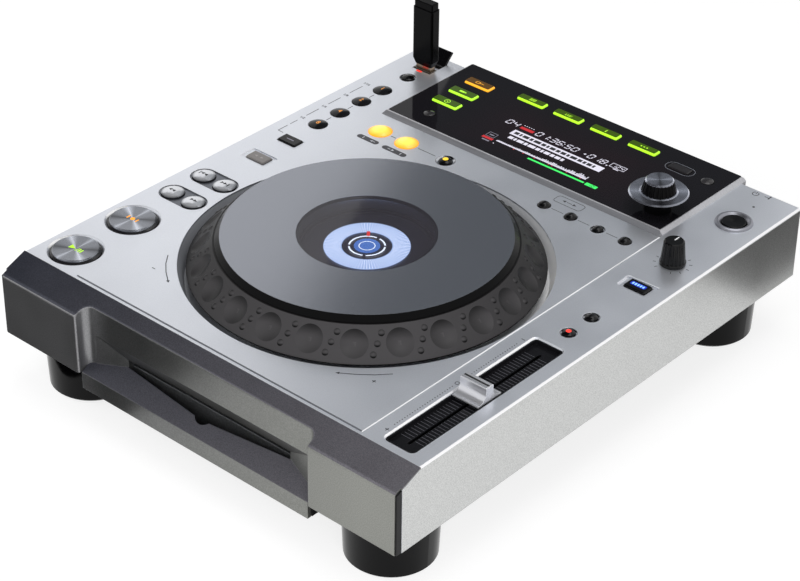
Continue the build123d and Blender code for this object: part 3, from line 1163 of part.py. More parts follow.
# ---- rear sockets and power key --------------------------------------------------------------
def phono_socket(x):
    """Round signal socket: barrel, shoulder in the panel and collar behind it."""
    inside = REAR_PANEL_Y - REAR_T - SLIP
    back = inside - PHONO_BODY_D
    socket = bar(PHONO_R, x, (inside, REAR_PANEL_Y + PHONO_L), SOCKET_Z)
    socket += bar(PHONO_SHOULDER_R, x, (inside, REAR_PANEL_Y), SOCKET_Z)
    socket += bar(PHONO_COLLAR_R, x, (back, inside), SOCKET_Z)
    return socket - bar(PHONO_BORE_R, x, (back + PHONO_BACK_T, REAR_PANEL_Y + PHONO_L + CUT), SOCKET_Z)


def mini_jack():
    """Control socket for a small plug."""
    out = REAR_PANEL_Y + MINI_JACK_PROUD
    socket = bar(MINI_JACK_COLLAR_R, MINI_JACK_X, (out - MINI_JACK_L, out), SOCKET_Z)
    return socket - bar(MINI_JACK_R, MINI_JACK_X, (out - MINI_JACK_BORE_L, out + CUT), SOCKET_Z)


def port(x, body, opening):
    """Rectangular socket with its opening facing the rear."""
    out = REAR_PANEL_Y + PORT_PROUD
    centre = Pos(x, out, SOCKET_Z)
    shell = centre * Pos(0, -PORT_BODY_D / 2, 0) * Box(body[0], PORT_BODY_D, body[1])
    return shell - centre * Box(opening[0], 2 * PORT_D, opening[1])


def power_inlet():
    """Mains inlet with two pins."""
    pins_y = (REAR_PANEL_Y - PORT_D, REAR_PANEL_Y - INLET_PIN_SINK)
    pins = [bar(INLET_PIN_R, INLET_X + side * INLET_PIN_X, pins_y, SOCKET_Z) for side in (-1, 1)]
    return port(INLET_X, INLET, INLET_PORT) + pins


def power_body():
    """Body of the power switch behind the panel."""
    back = REAR_PANEL_Y - REAR_T - SLIP
    half = POWER_R + POWER_WALL
    body = block((POWER_X - half, POWER_X + half), (back - POWER_BODY, back),
                 (SOCKET_Z - half, SOCKET_Z + half))
    return body - bar(POWER_R + GAP, POWER_X, (back - POWER_BODY + POWER_BACK_T, back + CUT), SOCKET_Z)


def rear_sockets():
    """Sockets in the rear panel and the power switch's body."""
    rounds = [phono_socket(x) for x in PHONO_XS]
    ports = [port(NETWORK_X, NETWORK, NETWORK_PORT), port(USB_B_X, USB_B, USB_B_PORT)]
    return all_of(rounds + [mini_jack()] + ports + [power_inlet(), power_body()])


def power_key():
    """Round push key of the power switch."""
    reach = REAR_PANEL_Y - REAR_T - POWER_BODY + POWER_PLAY
    key = bar(POWER_R, POWER_X, (reach, REAR_PANEL_Y + POWER_PROUD), SOCKET_Z)
    return chamfer(key.faces().sort_by(Axis.Y)[-1].edges(), POWER_CHAMFER)


# ---- everything ------------------------------------------------------------------------------
NODES = [
    base_chassis, feet, case_screws, upper_case, centre_panel, front_fascia, rear_panel,
    display_housing, display_window, jog_well, jog_display, jog_ring, jog_plate, jog_window,
    control_trims, vinyl_speed_knob, rotary_selector, tempo_slider, usb_flap, usb_stick,
    circuit_boards, drive_chassis, turntable, feed_roller, rear_sockets, power_key,
]

os.makedirs("parts", exist_ok=True)
player = {make.__name__: make() for make in NODES}
player.update(keys())
for name, shape in player.items():
    export_step(Pos(0, -ORIGIN_Y, 0) * shape, f"parts/{name}.step")
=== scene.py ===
"""Looks of the tabletop disc player: camera, light, floor, finishes, printed marks and lit marks.

Blender's own unit is the metre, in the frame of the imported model: X to the player's right, Y to
the rear, Z up, floor at Z = 0.  Marks are laid out in millimetres from the middle of the case.
"""
import json
from math import cos, dist, pi, radians, sin, tau

import bmesh
import bpy
from mathutils import Matrix, Vector
from mathutils.bvhtree import BVHTree
from mathutils.geometry import tessellate_polygon

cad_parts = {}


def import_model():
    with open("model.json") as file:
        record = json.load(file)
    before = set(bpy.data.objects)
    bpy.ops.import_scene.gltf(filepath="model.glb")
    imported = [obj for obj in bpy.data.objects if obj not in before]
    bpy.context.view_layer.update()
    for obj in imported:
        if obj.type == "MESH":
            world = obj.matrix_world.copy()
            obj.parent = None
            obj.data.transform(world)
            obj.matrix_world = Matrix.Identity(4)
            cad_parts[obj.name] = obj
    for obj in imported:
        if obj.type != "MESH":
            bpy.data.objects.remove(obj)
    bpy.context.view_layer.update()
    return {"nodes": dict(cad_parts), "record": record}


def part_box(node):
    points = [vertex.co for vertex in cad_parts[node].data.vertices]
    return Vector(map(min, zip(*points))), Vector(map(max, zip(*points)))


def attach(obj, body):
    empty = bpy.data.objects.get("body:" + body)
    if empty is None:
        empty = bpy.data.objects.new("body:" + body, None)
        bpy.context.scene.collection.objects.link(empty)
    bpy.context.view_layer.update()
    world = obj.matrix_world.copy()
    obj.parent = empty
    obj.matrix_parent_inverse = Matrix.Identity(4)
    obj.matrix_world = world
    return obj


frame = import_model()
nodes = frame["nodes"]
slots = {part["node"]: part["material_slot"] for part in frame["record"]["subparts"]}

MM = 0.001
INK_T = 0.06  # thickness of a printed mark
KEY_INK_T = 0.05  # thickness of a mark on a key
OVERPRINT_T = 0.03  # thickness of a mark on a mark
KEY_FINE = 0.9  # longest edge of a mark that follows a key's curved top
CAP_T = 0.16  # thickness of the smoked caps of the display's keys
SINK = 0.03  # how far a mark's underside lies in the surface
SILVER = "#e2e5ec"
AMBIENT = 0.3  # strength of the world as a light
FLOOR_LIFT = 0.8  # what is added to the floor where it is seen, to reach white

# ---- places from the frame, in millimetres ----
front_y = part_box("front_fascia")[0].y / MM
rear_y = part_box("upper_case")[1].y / MM
CASE_Y = (front_y + rear_y) / 2


def middle(node):
    """Middle of a node's box in plan, from the middle of the case."""
    low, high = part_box(node)
    return (low.x + high.x) / 2 / MM, (low.y + high.y) / 2 / MM - CASE_Y


def top(node):
    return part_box(node)[1].z / MM


def size_of(node):
    """Width and depth of a node's box."""
    low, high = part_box(node)
    return (high.x - low.x) / MM, (high.y - low.y) / MM


DECK_Z, PANEL_Z, WINDOW_Z = top("upper_case"), top("centre_panel"), top("display_window")
JOG = middle("jog_ring")
DISPLAY = middle("display_window")
SLIDER = (middle("tempo_slider")[0], -93.8)  # middle of the slider's travel
TRAY_REACH = (9.8, 62.2)  # half the slider tray's width and length
POCKET, POCKET_REACH = (-127.5, -46.0), (19.5, 24.5)  # pocket of the four pearl keys
SUNK = 0.25  # from here down, pockets count as sunk
PLATE_FACE_R = 84.4  # touch plate's metal; its skirt is outside
PANEL_EDGE_X = 109.4  # cut edge at the right of the centre panel
EJECT_SATIN_R = 12.2  # satin part of the eject key's ring
PLUG_OUT = 3.5  # bare plug between deck and stick
SELECTOR_FOOT, SELECTOR_BODY, SELECTOR_CAP = 10.6, 12.35, 0.95  # ends of its black parts
DIMPLE_COUNT, DIMPLE_PHASE = 24, 8.2  # phase in degrees
DIMPLE_POLE_R = size_of("jog_ring")[0] / 2 - 9.5
ROW_Y = 79.7  # keys behind the wheel
SCALE_X = 117.8  # dotted scale beside the slider
EDGE_X, LOOP_X = -143.0, -129.6  # fractions and beat loop keys at the left


# ---- shader building ----
def linear(code):
    """Linear colour of a #rrggbb code."""
    values = [int(code[i:i + 2], 16) / 255 for i in (1, 3, 5)]
    return [v / 12.92 if v <= 0.04045 else ((v + 0.055) / 1.055) ** 2.4 for v in values] + [1.0]


def scaled(colour, factor):
    """The colour of a code or of four numbers, made darker or lighter."""
    colour = linear(colour) if isinstance(colour, str) else colour
    return [min(1.0, c * factor) for c in colour[:3]] + [1.0]


class Nodes:
    """Short calls that add nodes to a tree."""

    def __init__(self, holder):
        holder.use_nodes = True
        self.tree = holder.node_tree

    def node(self, kind, **settings):
        made = self.tree.nodes.new("ShaderNode" + kind)
        for key, value in settings.items():
            setattr(made, key, value)
        return made

    def link(self, source, target):
        self.tree.links.new(source, target)

    def feed(self, socket, value):
        """A link for an output, a default for a number or colour; a code is a colour."""
        if isinstance(value, bpy.types.NodeSocket):
            self.link(value, socket)
        else:
            socket.default_value = linear(value) if isinstance(value, str) else value

    def math(self, operation, a, b=0.0):
        made = self.node("Math", operation=operation)
        self.feed(made.inputs[0], a)
        self.feed(made.inputs[1], b)
        return made.outputs[0]

    def both(self, a, b):
        return self.math("MULTIPLY", a, b)

    def less(self, a, b):
        return self.math("LESS_THAN", a, b)

    def more(self, a, b):
        return self.math("GREATER_THAN", a, b)

    def mix(self, factor, a, b):
        made = self.node("Mix", data_type="RGBA")
        self.feed(made.inputs["Factor"], factor)
        self.feed(made.inputs[6], a)
        self.feed(made.inputs[7], b)
        return made.outputs[2]

    def span(self, value, low, high, to_low=0.0, to_high=1.0):
        made = self.node("MapRange")
        for index, number in enumerate((value, low, high, to_low, to_high)):
            self.feed(made.inputs[index], number)
        return made.outputs[0]

    def seen(self):
        """1 for what the camera sees, straight, mirrored or through glass."""
        rays = self.node("LightPath").outputs
        direct = self.math("MAXIMUM", rays["Is Camera Ray"], rays["Is Glossy Ray"])
        return self.math("MAXIMUM", direct, rays["Is Transmission Ray"])


class Shader(Nodes):
    """A material with a Principled shader.  Places and reaches are in millimetres."""

    def __init__(self, name, roughness=0.5, metallic=0.0, coat=0.0, specular=0.5):
        self.material = bpy.data.materials.new(name)
        super().__init__(self.material)
        self.main = self.tree.nodes["Principled BSDF"]
        for socket, value in (("Roughness", roughness), ("Metallic", metallic),
                              ("Coat Weight", coat), ("Coat Roughness", 0.05),
                              ("Specular IOR Level", specular)):
            self.put(socket, value)
        self.place = self.node("TexCoord").outputs["Object"]

    def noise(self, scale, detail=2.0, stretch=(1, 1, 1)):
        mapping = self.node("Mapping")
        mapping.inputs["Scale"].default_value = stretch
        self.link(self.place, mapping.inputs["Vector"])
        made = self.node("TexNoise")
        made.inputs["Scale"].default_value = scale
        made.inputs["Detail"].default_value = detail
        self.link(mapping.outputs[0], made.inputs["Vector"])
        return made.outputs["Fac"]

    def parts(self, vector):
        """x, y and z of a vector as separate outputs."""
        made = self.node("SeparateXYZ")
        self.link(vector, made.inputs[0])
        return made.outputs

    def axes(self):
        return self.parts(self.place)

    def normal(self):
        return self.node("NewGeometry").outputs["Normal"]

    def about(self, centre):
        """Coordinates about an upright axis: (radius in metres, angle) outputs."""
        axes = self.axes()
        dx = self.math("SUBTRACT", axes[0], centre[0] * MM)
        dy = self.math("SUBTRACT", axes[1], (centre[1] + CASE_Y) * MM)
        square = self.math("ADD", self.both(dx, dx), self.both(dy, dy))
        return self.math("SQRT", square), self.math("ARCTAN2", dy, dx)

    def facing(self, axis, least):
        """1 on faces whose normal's x, y or z (0, 1, 2) has at least this size."""
        return self.more(self.math("ABSOLUTE", self.parts(self.normal())[axis]), least)

    def near(self, axis, place, reach):
        """1 where x or y (0, 1) lies within the reach of a place."""
        at = (place + CASE_Y * axis) * MM
        return self.less(self.math("ABSOLUTE", self.math("SUBTRACT", self.axes()[axis], at)), reach * MM)

    def inside(self, centre, reach):
        """1 within the reaches of a place in x and y."""
        return self.both(self.near(0, centre[0], reach[0]), self.near(1, centre[1], reach[1]))

    def lower(self, height):
        return self.less(self.axes()[2], height * MM)

    def higher(self, height):
        return self.more(self.axes()[2], height * MM)

    def times(self, colour, factor):
        """The colour made darker or lighter."""
        made = self.node("VectorMath", operation="SCALE")
        self.feed(made.inputs[0], colour[:3] if isinstance(colour, list) else colour)
        self.feed(made.inputs["Scale"], factor)
        return made.outputs[0]

    def speckle(self, colour, amount, scale=1700.0):
        """Fine light and dark grains of a metallic paint."""
        return self.times(colour, self.span(self.noise(scale, 1.0), 0.3, 0.7, 1 - amount, 1 + amount))

    def varied(self, code, amount):
        """The colour with soft clouds a little lighter and darker."""
        return self.mix(self.noise(18.0), scaled(code, 1 - amount), scaled(code, 1 + amount))

    def bevel(self, radius):
        made = self.node("Bevel", samples=4)
        made.inputs["Radius"].default_value = radius
        return made.outputs[0]

    def wear(self, radius, amount):
        """The amount on sharp edges and 0 on flat faces."""
        dot = self.node("VectorMath", operation="DOT_PRODUCT")
        self.link(self.bevel(radius), dot.inputs[0])
        self.link(self.normal(), dot.inputs[1])
        return self.both(self.span(dot.outputs["Value"], 0.98, 0.75), amount)

    def put(self, socket, value):
        self.feed(self.main.inputs[socket], value)

    def colour(self, value):
        self.put("Base Color", value)

    def over(self, mask, value):
        """Another colour where the mask is 1."""
        under = self.main.inputs["Base Color"].links[0].from_socket
        self.colour(self.mix(mask, under, value))

    def drop(self, socket, value, mask, fall):
        """A number that falls where the mask is 1."""
        self.put(socket, self.math("SUBTRACT", value, self.both(mask, fall)))

    def roughness(self, low, high, scale=35.0, detail=3.0):
        """Cloudy roughness between two values."""
        self.put("Roughness", self.span(self.noise(scale, detail), 0.3, 0.7, low, high))

    def bump(self, height, strength, edge=0.0):
        """Relief of a tenth of a millimetre, and edges rounded by a radius in metres."""
        made = self.node("Bump")
        made.inputs["Strength"].default_value = strength
        made.inputs["Distance"].default_value = 0.1 * MM
        self.link(height, made.inputs["Height"])
        if edge:
            self.link(self.bevel(edge), made.inputs["Normal"])
        self.link(made.outputs[0], self.main.inputs["Normal"])

    def glow(self, value, strength):
        self.put("Emission Color", value)
        self.put("Emission Strength", strength)


def painted(name, code, roughness, metallic=0.0, vary=0.04, grain=0.15, wear=0.12, specular=0.5):
    """Painted or moulded finish: soft clouds, fine grain, lighter worn edges."""
    s = Shader(name, roughness, metallic, specular=specular)
    s.colour(s.varied(code, vary))
    if wear:
        s.over(s.wear(0.00064, wear), scaled(code, 1.9))
    s.roughness(roughness - 0.05, roughness + 0.05)
    s.bump(s.noise(2600.0), grain, 0.0004)
    return s


def brushed(name, code, roughness, stretch, metallic=0.9, streak=0.25):
    """Metal brushed along one axis, the one whose stretch is smallest."""
    s = Shader(name, roughness, metallic)
    lines = s.noise(900.0, 3.0, stretch)
    s.colour(s.mix(s.span(lines, 0.3, 0.7), scaled(code, 1 - streak), scaled(code, 1 + streak)))
    s.over(s.wear(0.0006, 0.3), scaled(code, 2.0))
    s.put("Roughness", s.span(lines, 0.3, 0.7, roughness - 0.06, roughness + 0.08))
    s.bump(lines, 0.12, 0.0003)
    return s


def spun(name, code, centre, roughness=0.28, metallic=1.0, painted_light_sectors=(), fine=0.1):
    """Metal turned about an upright axis: fine rings, and painted light and shade in soft bright and dark
    wedges.

    A wedge is (angle in degrees, half width in degrees, brightness factor)."""
    s = Shader(name, roughness, metallic)
    radius, angle = s.about(centre)
    rings = s.node("TexNoise", noise_dimensions="1D")
    rings.inputs["Scale"].default_value = 6000.0
    s.link(radius, rings.inputs["W"])
    grooves = rings.outputs["Fac"]
    s.colour(s.mix(s.span(grooves, 0.3, 0.7), scaled(code, 1 - fine), scaled(code, 1 + fine)))
    # each wedge paints light (factor above 1) or shade (factor below 1) into the colour over a range of
    # angles
    for degrees, half, factor in painted_light_sectors:
        turn = s.math("SUBTRACT", angle, radians(degrees))
        away = s.math("ARCCOSINE", s.math("COSINE", turn))
        amount = s.span(away, radians(half), 0.0)
        s.over(s.both(amount, amount), scaled(code, factor))
    s.bump(grooves, 0.08)
    return s


def lit(name, code):
    """Glowing plastic."""
    s = Shader(name, 0.35, coat=0.4)
    s.colour(scaled(code, 0.6))
    s.glow(s.mix(s.noise(220.0, 1.0), scaled(code, 0.94), code), 1.0)
    s.bump(s.noise(3000.0), 0.05)
    return s


def ink(name, code, roughness=0.55):
    """Screen-printed ink, a little uneven."""
    s = Shader(name, roughness)
    s.colour(s.mix(s.noise(700.0, 3.0), scaled(code, 0.88), scaled(code, 1.12)))
    s.bump(s.noise(4000.0), 0.1)
    return s


def lit_ink(name, code, strength):
    """Mark that a light shines through."""
    s = Shader(name, 0.4)
    s.colour(s.mix(s.noise(500.0), scaled(code, 0.35), scaled(code, 0.5)))
    s.glow(s.mix(s.noise(900.0), scaled(code, 0.9), code), strength)
    return s


# ---- finishes ----
def jog_plate_finish():
    """Dark spun aluminium of the touch plate, with a black skirt."""
    s = spun("touch_plate", "#94979f", JOG, 0.18, 0.85, fine=0.04)
    skirt = s.more(s.about(JOG)[0], PLATE_FACE_R * MM)
    s.over(skirt, "#0a0a0b")
    s.drop("Metallic", 0.88, skirt, 0.88)
    s.drop("Specular IOR Level", 0.5, skirt, 0.44)
    return s


def jog_screen_finish():
    """Display disc inside the wheel: smoky glass with a faint glow about the middle."""
    s = Shader("jog_screen", 0.3, coat=0.6)
    s.colour(s.mix(s.noise(60.0), "#1b1a1e", "#232127"))
    s.glow(s.mix(s.span(s.about(JOG)[0], 0.040, 0.010), "#000000", "#2a2c44"), 1.0)
    return s


def window_glass():
    """Clear window of the touch plate, lightly smoked."""
    s = Shader("jog_glass", 0.06, specular=0.45)
    s.colour(s.mix(s.noise(30.0), "#39363d", "#454249"))
    s.put("Alpha", 0.55)
    return s


def dimple_pole(s):
    """1 in the very middle of each finger dimple, where the mesh's normals meet in one point."""
    radius, angle = s.about(JOG)
    pitch = tau / DIMPLE_COUNT
    turn = s.math("DIVIDE", s.math("SUBTRACT", angle, radians(DIMPLE_PHASE)), pitch)
    part = s.math("SUBTRACT", s.math("FRACT", s.math("ADD", turn, 0.5)), 0.5)
    side = s.math("ABSOLUTE", s.both(s.both(part, pitch), radius))
    slope = s.math("ABSOLUTE", s.math("SUBTRACT", radius, DIMPLE_POLE_R * MM))
    return s.less(s.math("MAXIMUM", side, slope), 0.9 * MM)


def grip_finish():
    """Rubbery grip ring with painted shade and light: black painted shade in the steep gaps, and slopes
    that face the front and right painted lighter.
    """
    s = Shader("jog_grip", 0.34, specular=0.1)
    x, y, rise = s.parts(s.normal())
    # painted shade: the steeper the face, the darker, down to black in the gaps
    deep = s.mix(s.span(rise, 0.3, 0.6), "#050505", "#292829")
    base = s.mix(s.span(rise, 0.6, 0.9), deep, "#313031")
    base = s.mix(s.noise(40.0), s.mix(0.08, base, "#000000"), base)
    # a plain tone in the middle of each dimple, where the painted shade would show a spot
    base = s.mix(dimple_pole(s), base, "#302f30")
    # painted light: faces leaning to the front and right are made up to three times lighter, others down
    # to half
    lean = s.math("SUBTRACT", s.both(x, 0.66), s.both(y, 0.75))
    s.colour(s.times(base, s.span(lean, 0.0, 0.75, 0.45, 3.0)))
    s.over(s.wear(0.0005, 0.12), "#6a6768")
    s.roughness(0.31, 0.39, 60.0)
    s.bump(s.noise(5200.0), 0.18, 0.0004)
    return s


def display_glass_finish():
    """Dark display window: near black with a reddish cast where the screen shines through."""
    s = Shader("display_window", 0.05, specular=0.12)
    axes = s.axes()
    across = s.math("ABSOLUTE", s.math("SUBTRACT", axes[0], 0.006))
    along = s.math("ABSOLUTE", s.math("SUBTRACT", axes[1], (DISPLAY[1] - 8 + CASE_Y) * MM))
    far = s.math("MAXIMUM", across, s.both(along, 2.2))
    base = s.mix(s.span(far, 0.080, 0.020), "#1d1c20", "#2b1c22")
    s.colour(s.speckle(s.mix(s.noise(25.0), scaled("#1c1b1f", 0.92), base), 0.2, 1200.0))
    s.roughness(0.03, 0.07, 20.0)
    s.bump(s.noise(900.0), 0.01, 0.0003)
    return s


def big_key_finish(node):
    """Spun metal face with painted reflections in bright and dark wedges, on a dark skirt."""
    # painted reflections: three wedges, each repeated on the opposite side
    painted_light_sectors = [(bright + turn, half, factor) for bright, half, factor in
               ((150, 24, 2.9), (212, 34, 0.3), (268, 15, 2.1)) for turn in (0, 180)]
    s = spun(node + "_face", "#888b92", middle(node), 0.26, 0.85, painted_light_sectors, 0.08)
    skirt = s.lower(DECK_Z + 0.12)
    s.over(skirt, "#17171a")
    s.drop("Metallic", 0.8, skirt, 0.8)
    return s


def selector_finish():
    """Selector knob: spun metal top and flange with painted reflections in bright and dark wedges, black
    grooved body.
    """
    # painted reflections on the spun metal: two bright and two dark wedges
    painted_light_sectors = [(222, 34, 2.2), (42, 34, 2.4), (311, 52, 0.22), (131, 40, 0.4)]
    s = spun("selector", "#9497a1", middle("rotary_selector"), 0.24, 0.85, painted_light_sectors, 0.06)
    body = s.both(s.higher(WINDOW_Z + SELECTOR_BODY), s.lower(top("rotary_selector") - SELECTOR_CAP))
    black = s.math("MAXIMUM", body, s.lower(WINDOW_Z + SELECTOR_FOOT))
    s.over(black, "#070708")
    s.drop("Metallic", 0.85, black, 0.85)
    s.drop("Specular IOR Level", 0.3, black, 0.22)
    return s


def well_finish():
    """Spun cone round the wheel, with painted light: a bright wedge towards the right and rear, and
    painted shade in a darker wedge towards the left and front.
    """
    return spun("well", "#b4b7be", JOG, 0.4, 0.0, [(35, 90, 2.3), (215, 95, 0.5)], 0.02)


def trim_finish():
    """Chrome of the dishes and rings, and black lacquer inside the slider's tray."""
    s = Shader("trim_chrome", 0.18, 1.0)
    inside = s.both(s.inside(SLIDER, TRAY_REACH), s.lower(DECK_Z - SUNK))
    satin = s.less(s.about(middle("eject_key"))[0], EJECT_SATIN_R * MM)
    s.colour(s.varied("#b4b6bb", 0.03))
    s.over(satin, "#8f9097")
    s.over(inside, s.varied("#161619", 0.08))
    s.drop("Metallic", 1.0, inside, 1.0)
    s.drop("Specular IOR Level", 0.5, inside, 0.35)
    gloss = s.span(s.noise(40.0), 0.3, 0.7, 0.15, 0.2)
    s.put("Roughness", s.math("ADD", gloss, s.both(satin, 0.2)))
    s.bump(s.noise(2600.0), 0.02, 0.0003)
    return s


def case_finish():
    """Silver of the case: bluish deck, grainier side walls, painted shade on the floors of the key
    pockets, and a painted highlight along the top of the side walls.
    """
    s = Shader("case_silver", 0.3, 0.8)
    sides = s.facing(0, 0.6)
    deck = s.speckle(s.varied(SILVER, 0.015), 0.025, 1500.0)
    s.colour(s.mix(sides, deck, s.speckle(linear("#cdcecd"), 0.17)))
    # painted shade on the sunk floor of the pearl keys' pocket
    s.over(s.both(s.lower(DECK_Z - SUNK), s.inside(POCKET, POCKET_REACH)), "#6f7279")
    # painted highlight: near white along the top millimetre of the side walls
    s.over(s.both(s.higher(DECK_Z - 1.0), sides), "#fdfdfe")
    s.over(s.wear(0.0006, 0.25), "#f2f3f5")
    s.roughness(0.29, 0.34)
    s.bump(s.noise(1900.0), 0.05, 0.0004)
    return s


def fascia_finish():
    """Gunmetal of the fascia with painted light and shade: faces that look up carry a painted dark slate
    reflection, darker to the left; the front has warm silver grain, painted lighter at the left block and
    towards the right, darker on the hood.
    """
    s = Shader("fascia_gunmetal", 0.36, 0.82, specular=0.3)
    x = s.axes()[0]
    # painted light and shade on the front: lighter at the left block, darker on the hood, lighter again
    # towards the right
    hood = s.mix(s.span(x, -0.09, -0.07), "#959597", "#6c6d6d")
    front = s.speckle(s.mix(s.span(x, -0.05, 0.13), hood, "#8f908b"), 0.16)
    # painted dark reflection on the faces that look up, darker to the left
    upward_dark_reflection = s.speckle(s.mix(s.span(x, -0.15, 0.15), "#3c3e48", "#706e74"), 0.22)
    up = s.facing(2, 0.5)
    s.colour(s.mix(up, front, upward_dark_reflection))
    s.drop("Metallic", 0.82, up, 0.3)
    s.roughness(0.32, 0.42)
    s.bump(s.noise(2100.0), 0.15, 0.0005)
    return s


def panel_finish():
    """Silver of the centre panel, with painted shade along its front edge and a painted highlight along
    its right cut edge.
    """
    s = Shader("panel_silver", 0.28, 0.8)
    axes = s.axes()
    s.colour(s.speckle(s.varied(SILVER, 0.015), 0.025, 1500.0))
    # painted shade: a dark band along the panel's front edge
    s.over(s.less(axes[1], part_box("centre_panel")[0].y + 0.0006), "#6d6f76")
    # painted highlight: near white along the cut edge at the right
    s.over(s.more(axes[0], PANEL_EDGE_X * MM), "#f4f5f7")
    s.roughness(0.285, 0.33)
    s.bump(s.noise(1900.0), 0.05, 0.0002)
    return s


def key_pearl():
    """Pearl domes with painted shade, dark towards their feet."""
    s = Shader("key_pearl", 0.2, 0.6)
    rise = s.span(s.axes()[2], (DECK_Z + 0.1) * MM, (DECK_Z + 0.95) * MM)
    # painted shade: dark grey at the foot of each dome, pearl towards the top
    s.colour(s.mix(rise, "#3c3d42", s.varied("#dfe1e6", 0.03)))
    s.bump(s.noise(2400.0), 0.03)
    return s


def bezel_finish():
    """Frame of the display: dull front bevel with painted shade, a painted highlight as a bright inner
    line, and bright side bevels painted as if lit.
    """
    s = Shader("display_frame", 0.34, 0.35)
    y = s.axes()[1]
    lines = s.noise(900.0, 3.0, (0.02, 1, 1))
    bevel_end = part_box("display_housing")[0].y + 0.0026
    bright = s.mix(s.span(lines, 0.3, 0.7), "#b9b9bd", "#c9c9cd")
    # painted shade on the front bevel, the other bevels painted bright as if lit
    s.colour(s.mix(s.less(y, bevel_end), bright, s.mix(lines, "#7e7f83", "#8e8f94")))
    # painted highlight: a bright line just behind the front bevel
    s.over(s.both(s.more(y, bevel_end), s.less(y, bevel_end + 0.0014)), "#c4c4c8")
    s.put("Roughness", s.span(lines, 0.3, 0.7, 0.28, 0.42))
    s.bump(lines, 0.08, 0.0002)
    return s


def stick_finish():
    """Gloss black memory stick with the bare metal of its plug."""
    s = Shader("stick_black", 0.14, specular=0.06)
    metal = s.lower(DECK_Z + PLUG_OUT)
    s.colour(s.varied("#050506", 0.1))
    s.over(metal, "#a08c78")
    s.put("Metallic", s.both(metal, 0.9))
    s.roughness(0.16, 0.26, 40.0, 2.0)
    s.bump(s.noise(2600.0), 0.04, 0.0004)
    return s


def sockets_finish():
    """Dark sockets with coloured signal barrels."""
    s = Shader("sockets", 0.35)
    s.colour(s.varied("#242427", 0.1))
    outside = s.more(s.axes()[1], rear_y * MM - 0.0008)
    for x, code in ((-118, "#d0732c"), (-98, "#b3262a"), (-70, "#d9d9da")):
        s.over(s.both(s.near(0, x, 6.0), outside), code)
    s.bump(s.noise(2500.0), 0.1, 0.0002)
    return s


def boards_finish():
    """Circuit boards: green lacquer with tracks, painted black shade under the slider's slot, and the
    steel can of the media socket.
    """
    s = Shader("boards", 0.45)
    tracks = s.span(s.noise(420.0, 0.0, (1, 4, 1)), 0.49, 0.52)
    can = s.inside(middle("usb_stick"), (9.0, 6.0))
    s.colour(s.mix(tracks, "#0f3d22", "#1d6b3a"))
    # painted shade: black where the slider's slot looks down onto the boards
    s.over(s.near(0, SLIDER[0], 6.0), "#040405")
    s.over(can, "#8f8b83")
    s.put("Metallic", can)
    s.bump(tracks, 0.1)
    return s


def amber_finish():
    """Lit dome: yellow at the top, orange toward the rim."""
    s = Shader("key_amber", 0.3, coat=0.3)
    rim = s.math("MINIMUM", *(s.about(middle(node))[0] for node in ("loop_in_key", "loop_out_key")))
    hot = s.math("ADD", s.span(rim, 0.0030, 0.0076), s.span(s.noise(300.0), 0.3, 0.7, -0.08, 0.08))
    glow = s.mix(hot, "#ffe860", "#f8a51c")
    s.colour(s.mix(0.5, glow, "#5a4310"))
    s.glow(glow, 0.95)
    s.bump(s.noise(2500.0), 0.04)
    return s


def cap_finish(name, code):
    """Smoked cap over a light, with a little of it shining through."""
    s = Shader(name, 0.3, specular=0.15)
    s.colour(s.varied(scaled(code, 0.05), 0.1))
    s.glow(s.mix(s.noise(300.0), code, scaled(code, 0.8)), 0.07)
    s.bump(s.noise(2500.0), 0.03)
    return s


FINISHES = {
    "silver_case": case_finish,
    "silver_panel": panel_finish,
    "fascia": fascia_finish,
    "black_steel": lambda: painted("chassis_black", "#101012", 0.45, grain=0.3, wear=0.1, specular=0.25),
    "black_gloss": lambda: painted("foot_black", "#060607", 0.14, grain=0.02, wear=0.03, specular=0.14),
    "zinc": lambda: painted("zinc_steel", "#a5a7a9", 0.35, 0.9, vary=0.1, grain=0.2),
    "bezel": bezel_finish,
    "window": display_glass_finish,
    "well": well_finish,
    "jog_screen": jog_screen_finish,
    "jog_grip": grip_finish,
    "jog_metal": jog_plate_finish,
    "jog_glass": window_glass,
    "trim": trim_finish,
    "key_silver": key_pearl,
    "key_black": lambda: painted("key_black", "#0b0b0d", 0.16, grain=0.02, wear=0.05, specular=0.25),
    "key_lit": amber_finish,
    "key_smoke": lambda: painted("key_smoke", "#2c2a2c", 0.2, grain=0.03, wear=0.2, specular=0.35),
    "cap_silver": lambda: brushed("slider_cap", "#d4d5da", 0.3, (0.03, 1, 1), 0.8, 0.02),
    "stick": stick_finish,
    "boards": boards_finish,
    "drive_steel": lambda: brushed("drive_steel", "#8e9093", 0.38, (1, 0.02, 1)),
    "hub": lambda: painted("hub_black", "#1b1b1d", 0.5, grain=0.2),
    "rubber": lambda: painted("roller_rubber", "#161616", 0.75, grain=0.5, wear=0.0),
    "sockets": sockets_finish,
}
OWN_FINISHES = {
    "play_key": lambda: big_key_finish("play_key"),
    "cue_key": lambda: big_key_finish("cue_key"),
    "rotary_selector": selector_finish,
    "vinyl_speed_knob": lambda: painted("knob_black", "#09090a", 0.2, grain=0.03, wear=0.1, specular=0.24),
    "direction_key": lambda: painted("key_clouded", "#7f7b79", 0.34, grain=0.03, wear=0.3, vary=0.08),
}
LIT_WINDOW_KEYS = {
    "source_disc_key": "#b4ff36", "source_usb_key": "#b4ff36", "source_link_key": "#ffb22e",
    "browse_key": "#b8ff30", "tag_list_key": "#b8ff30", "info_key": "#b8ff30", "menu_key": "#b8ff30",
}


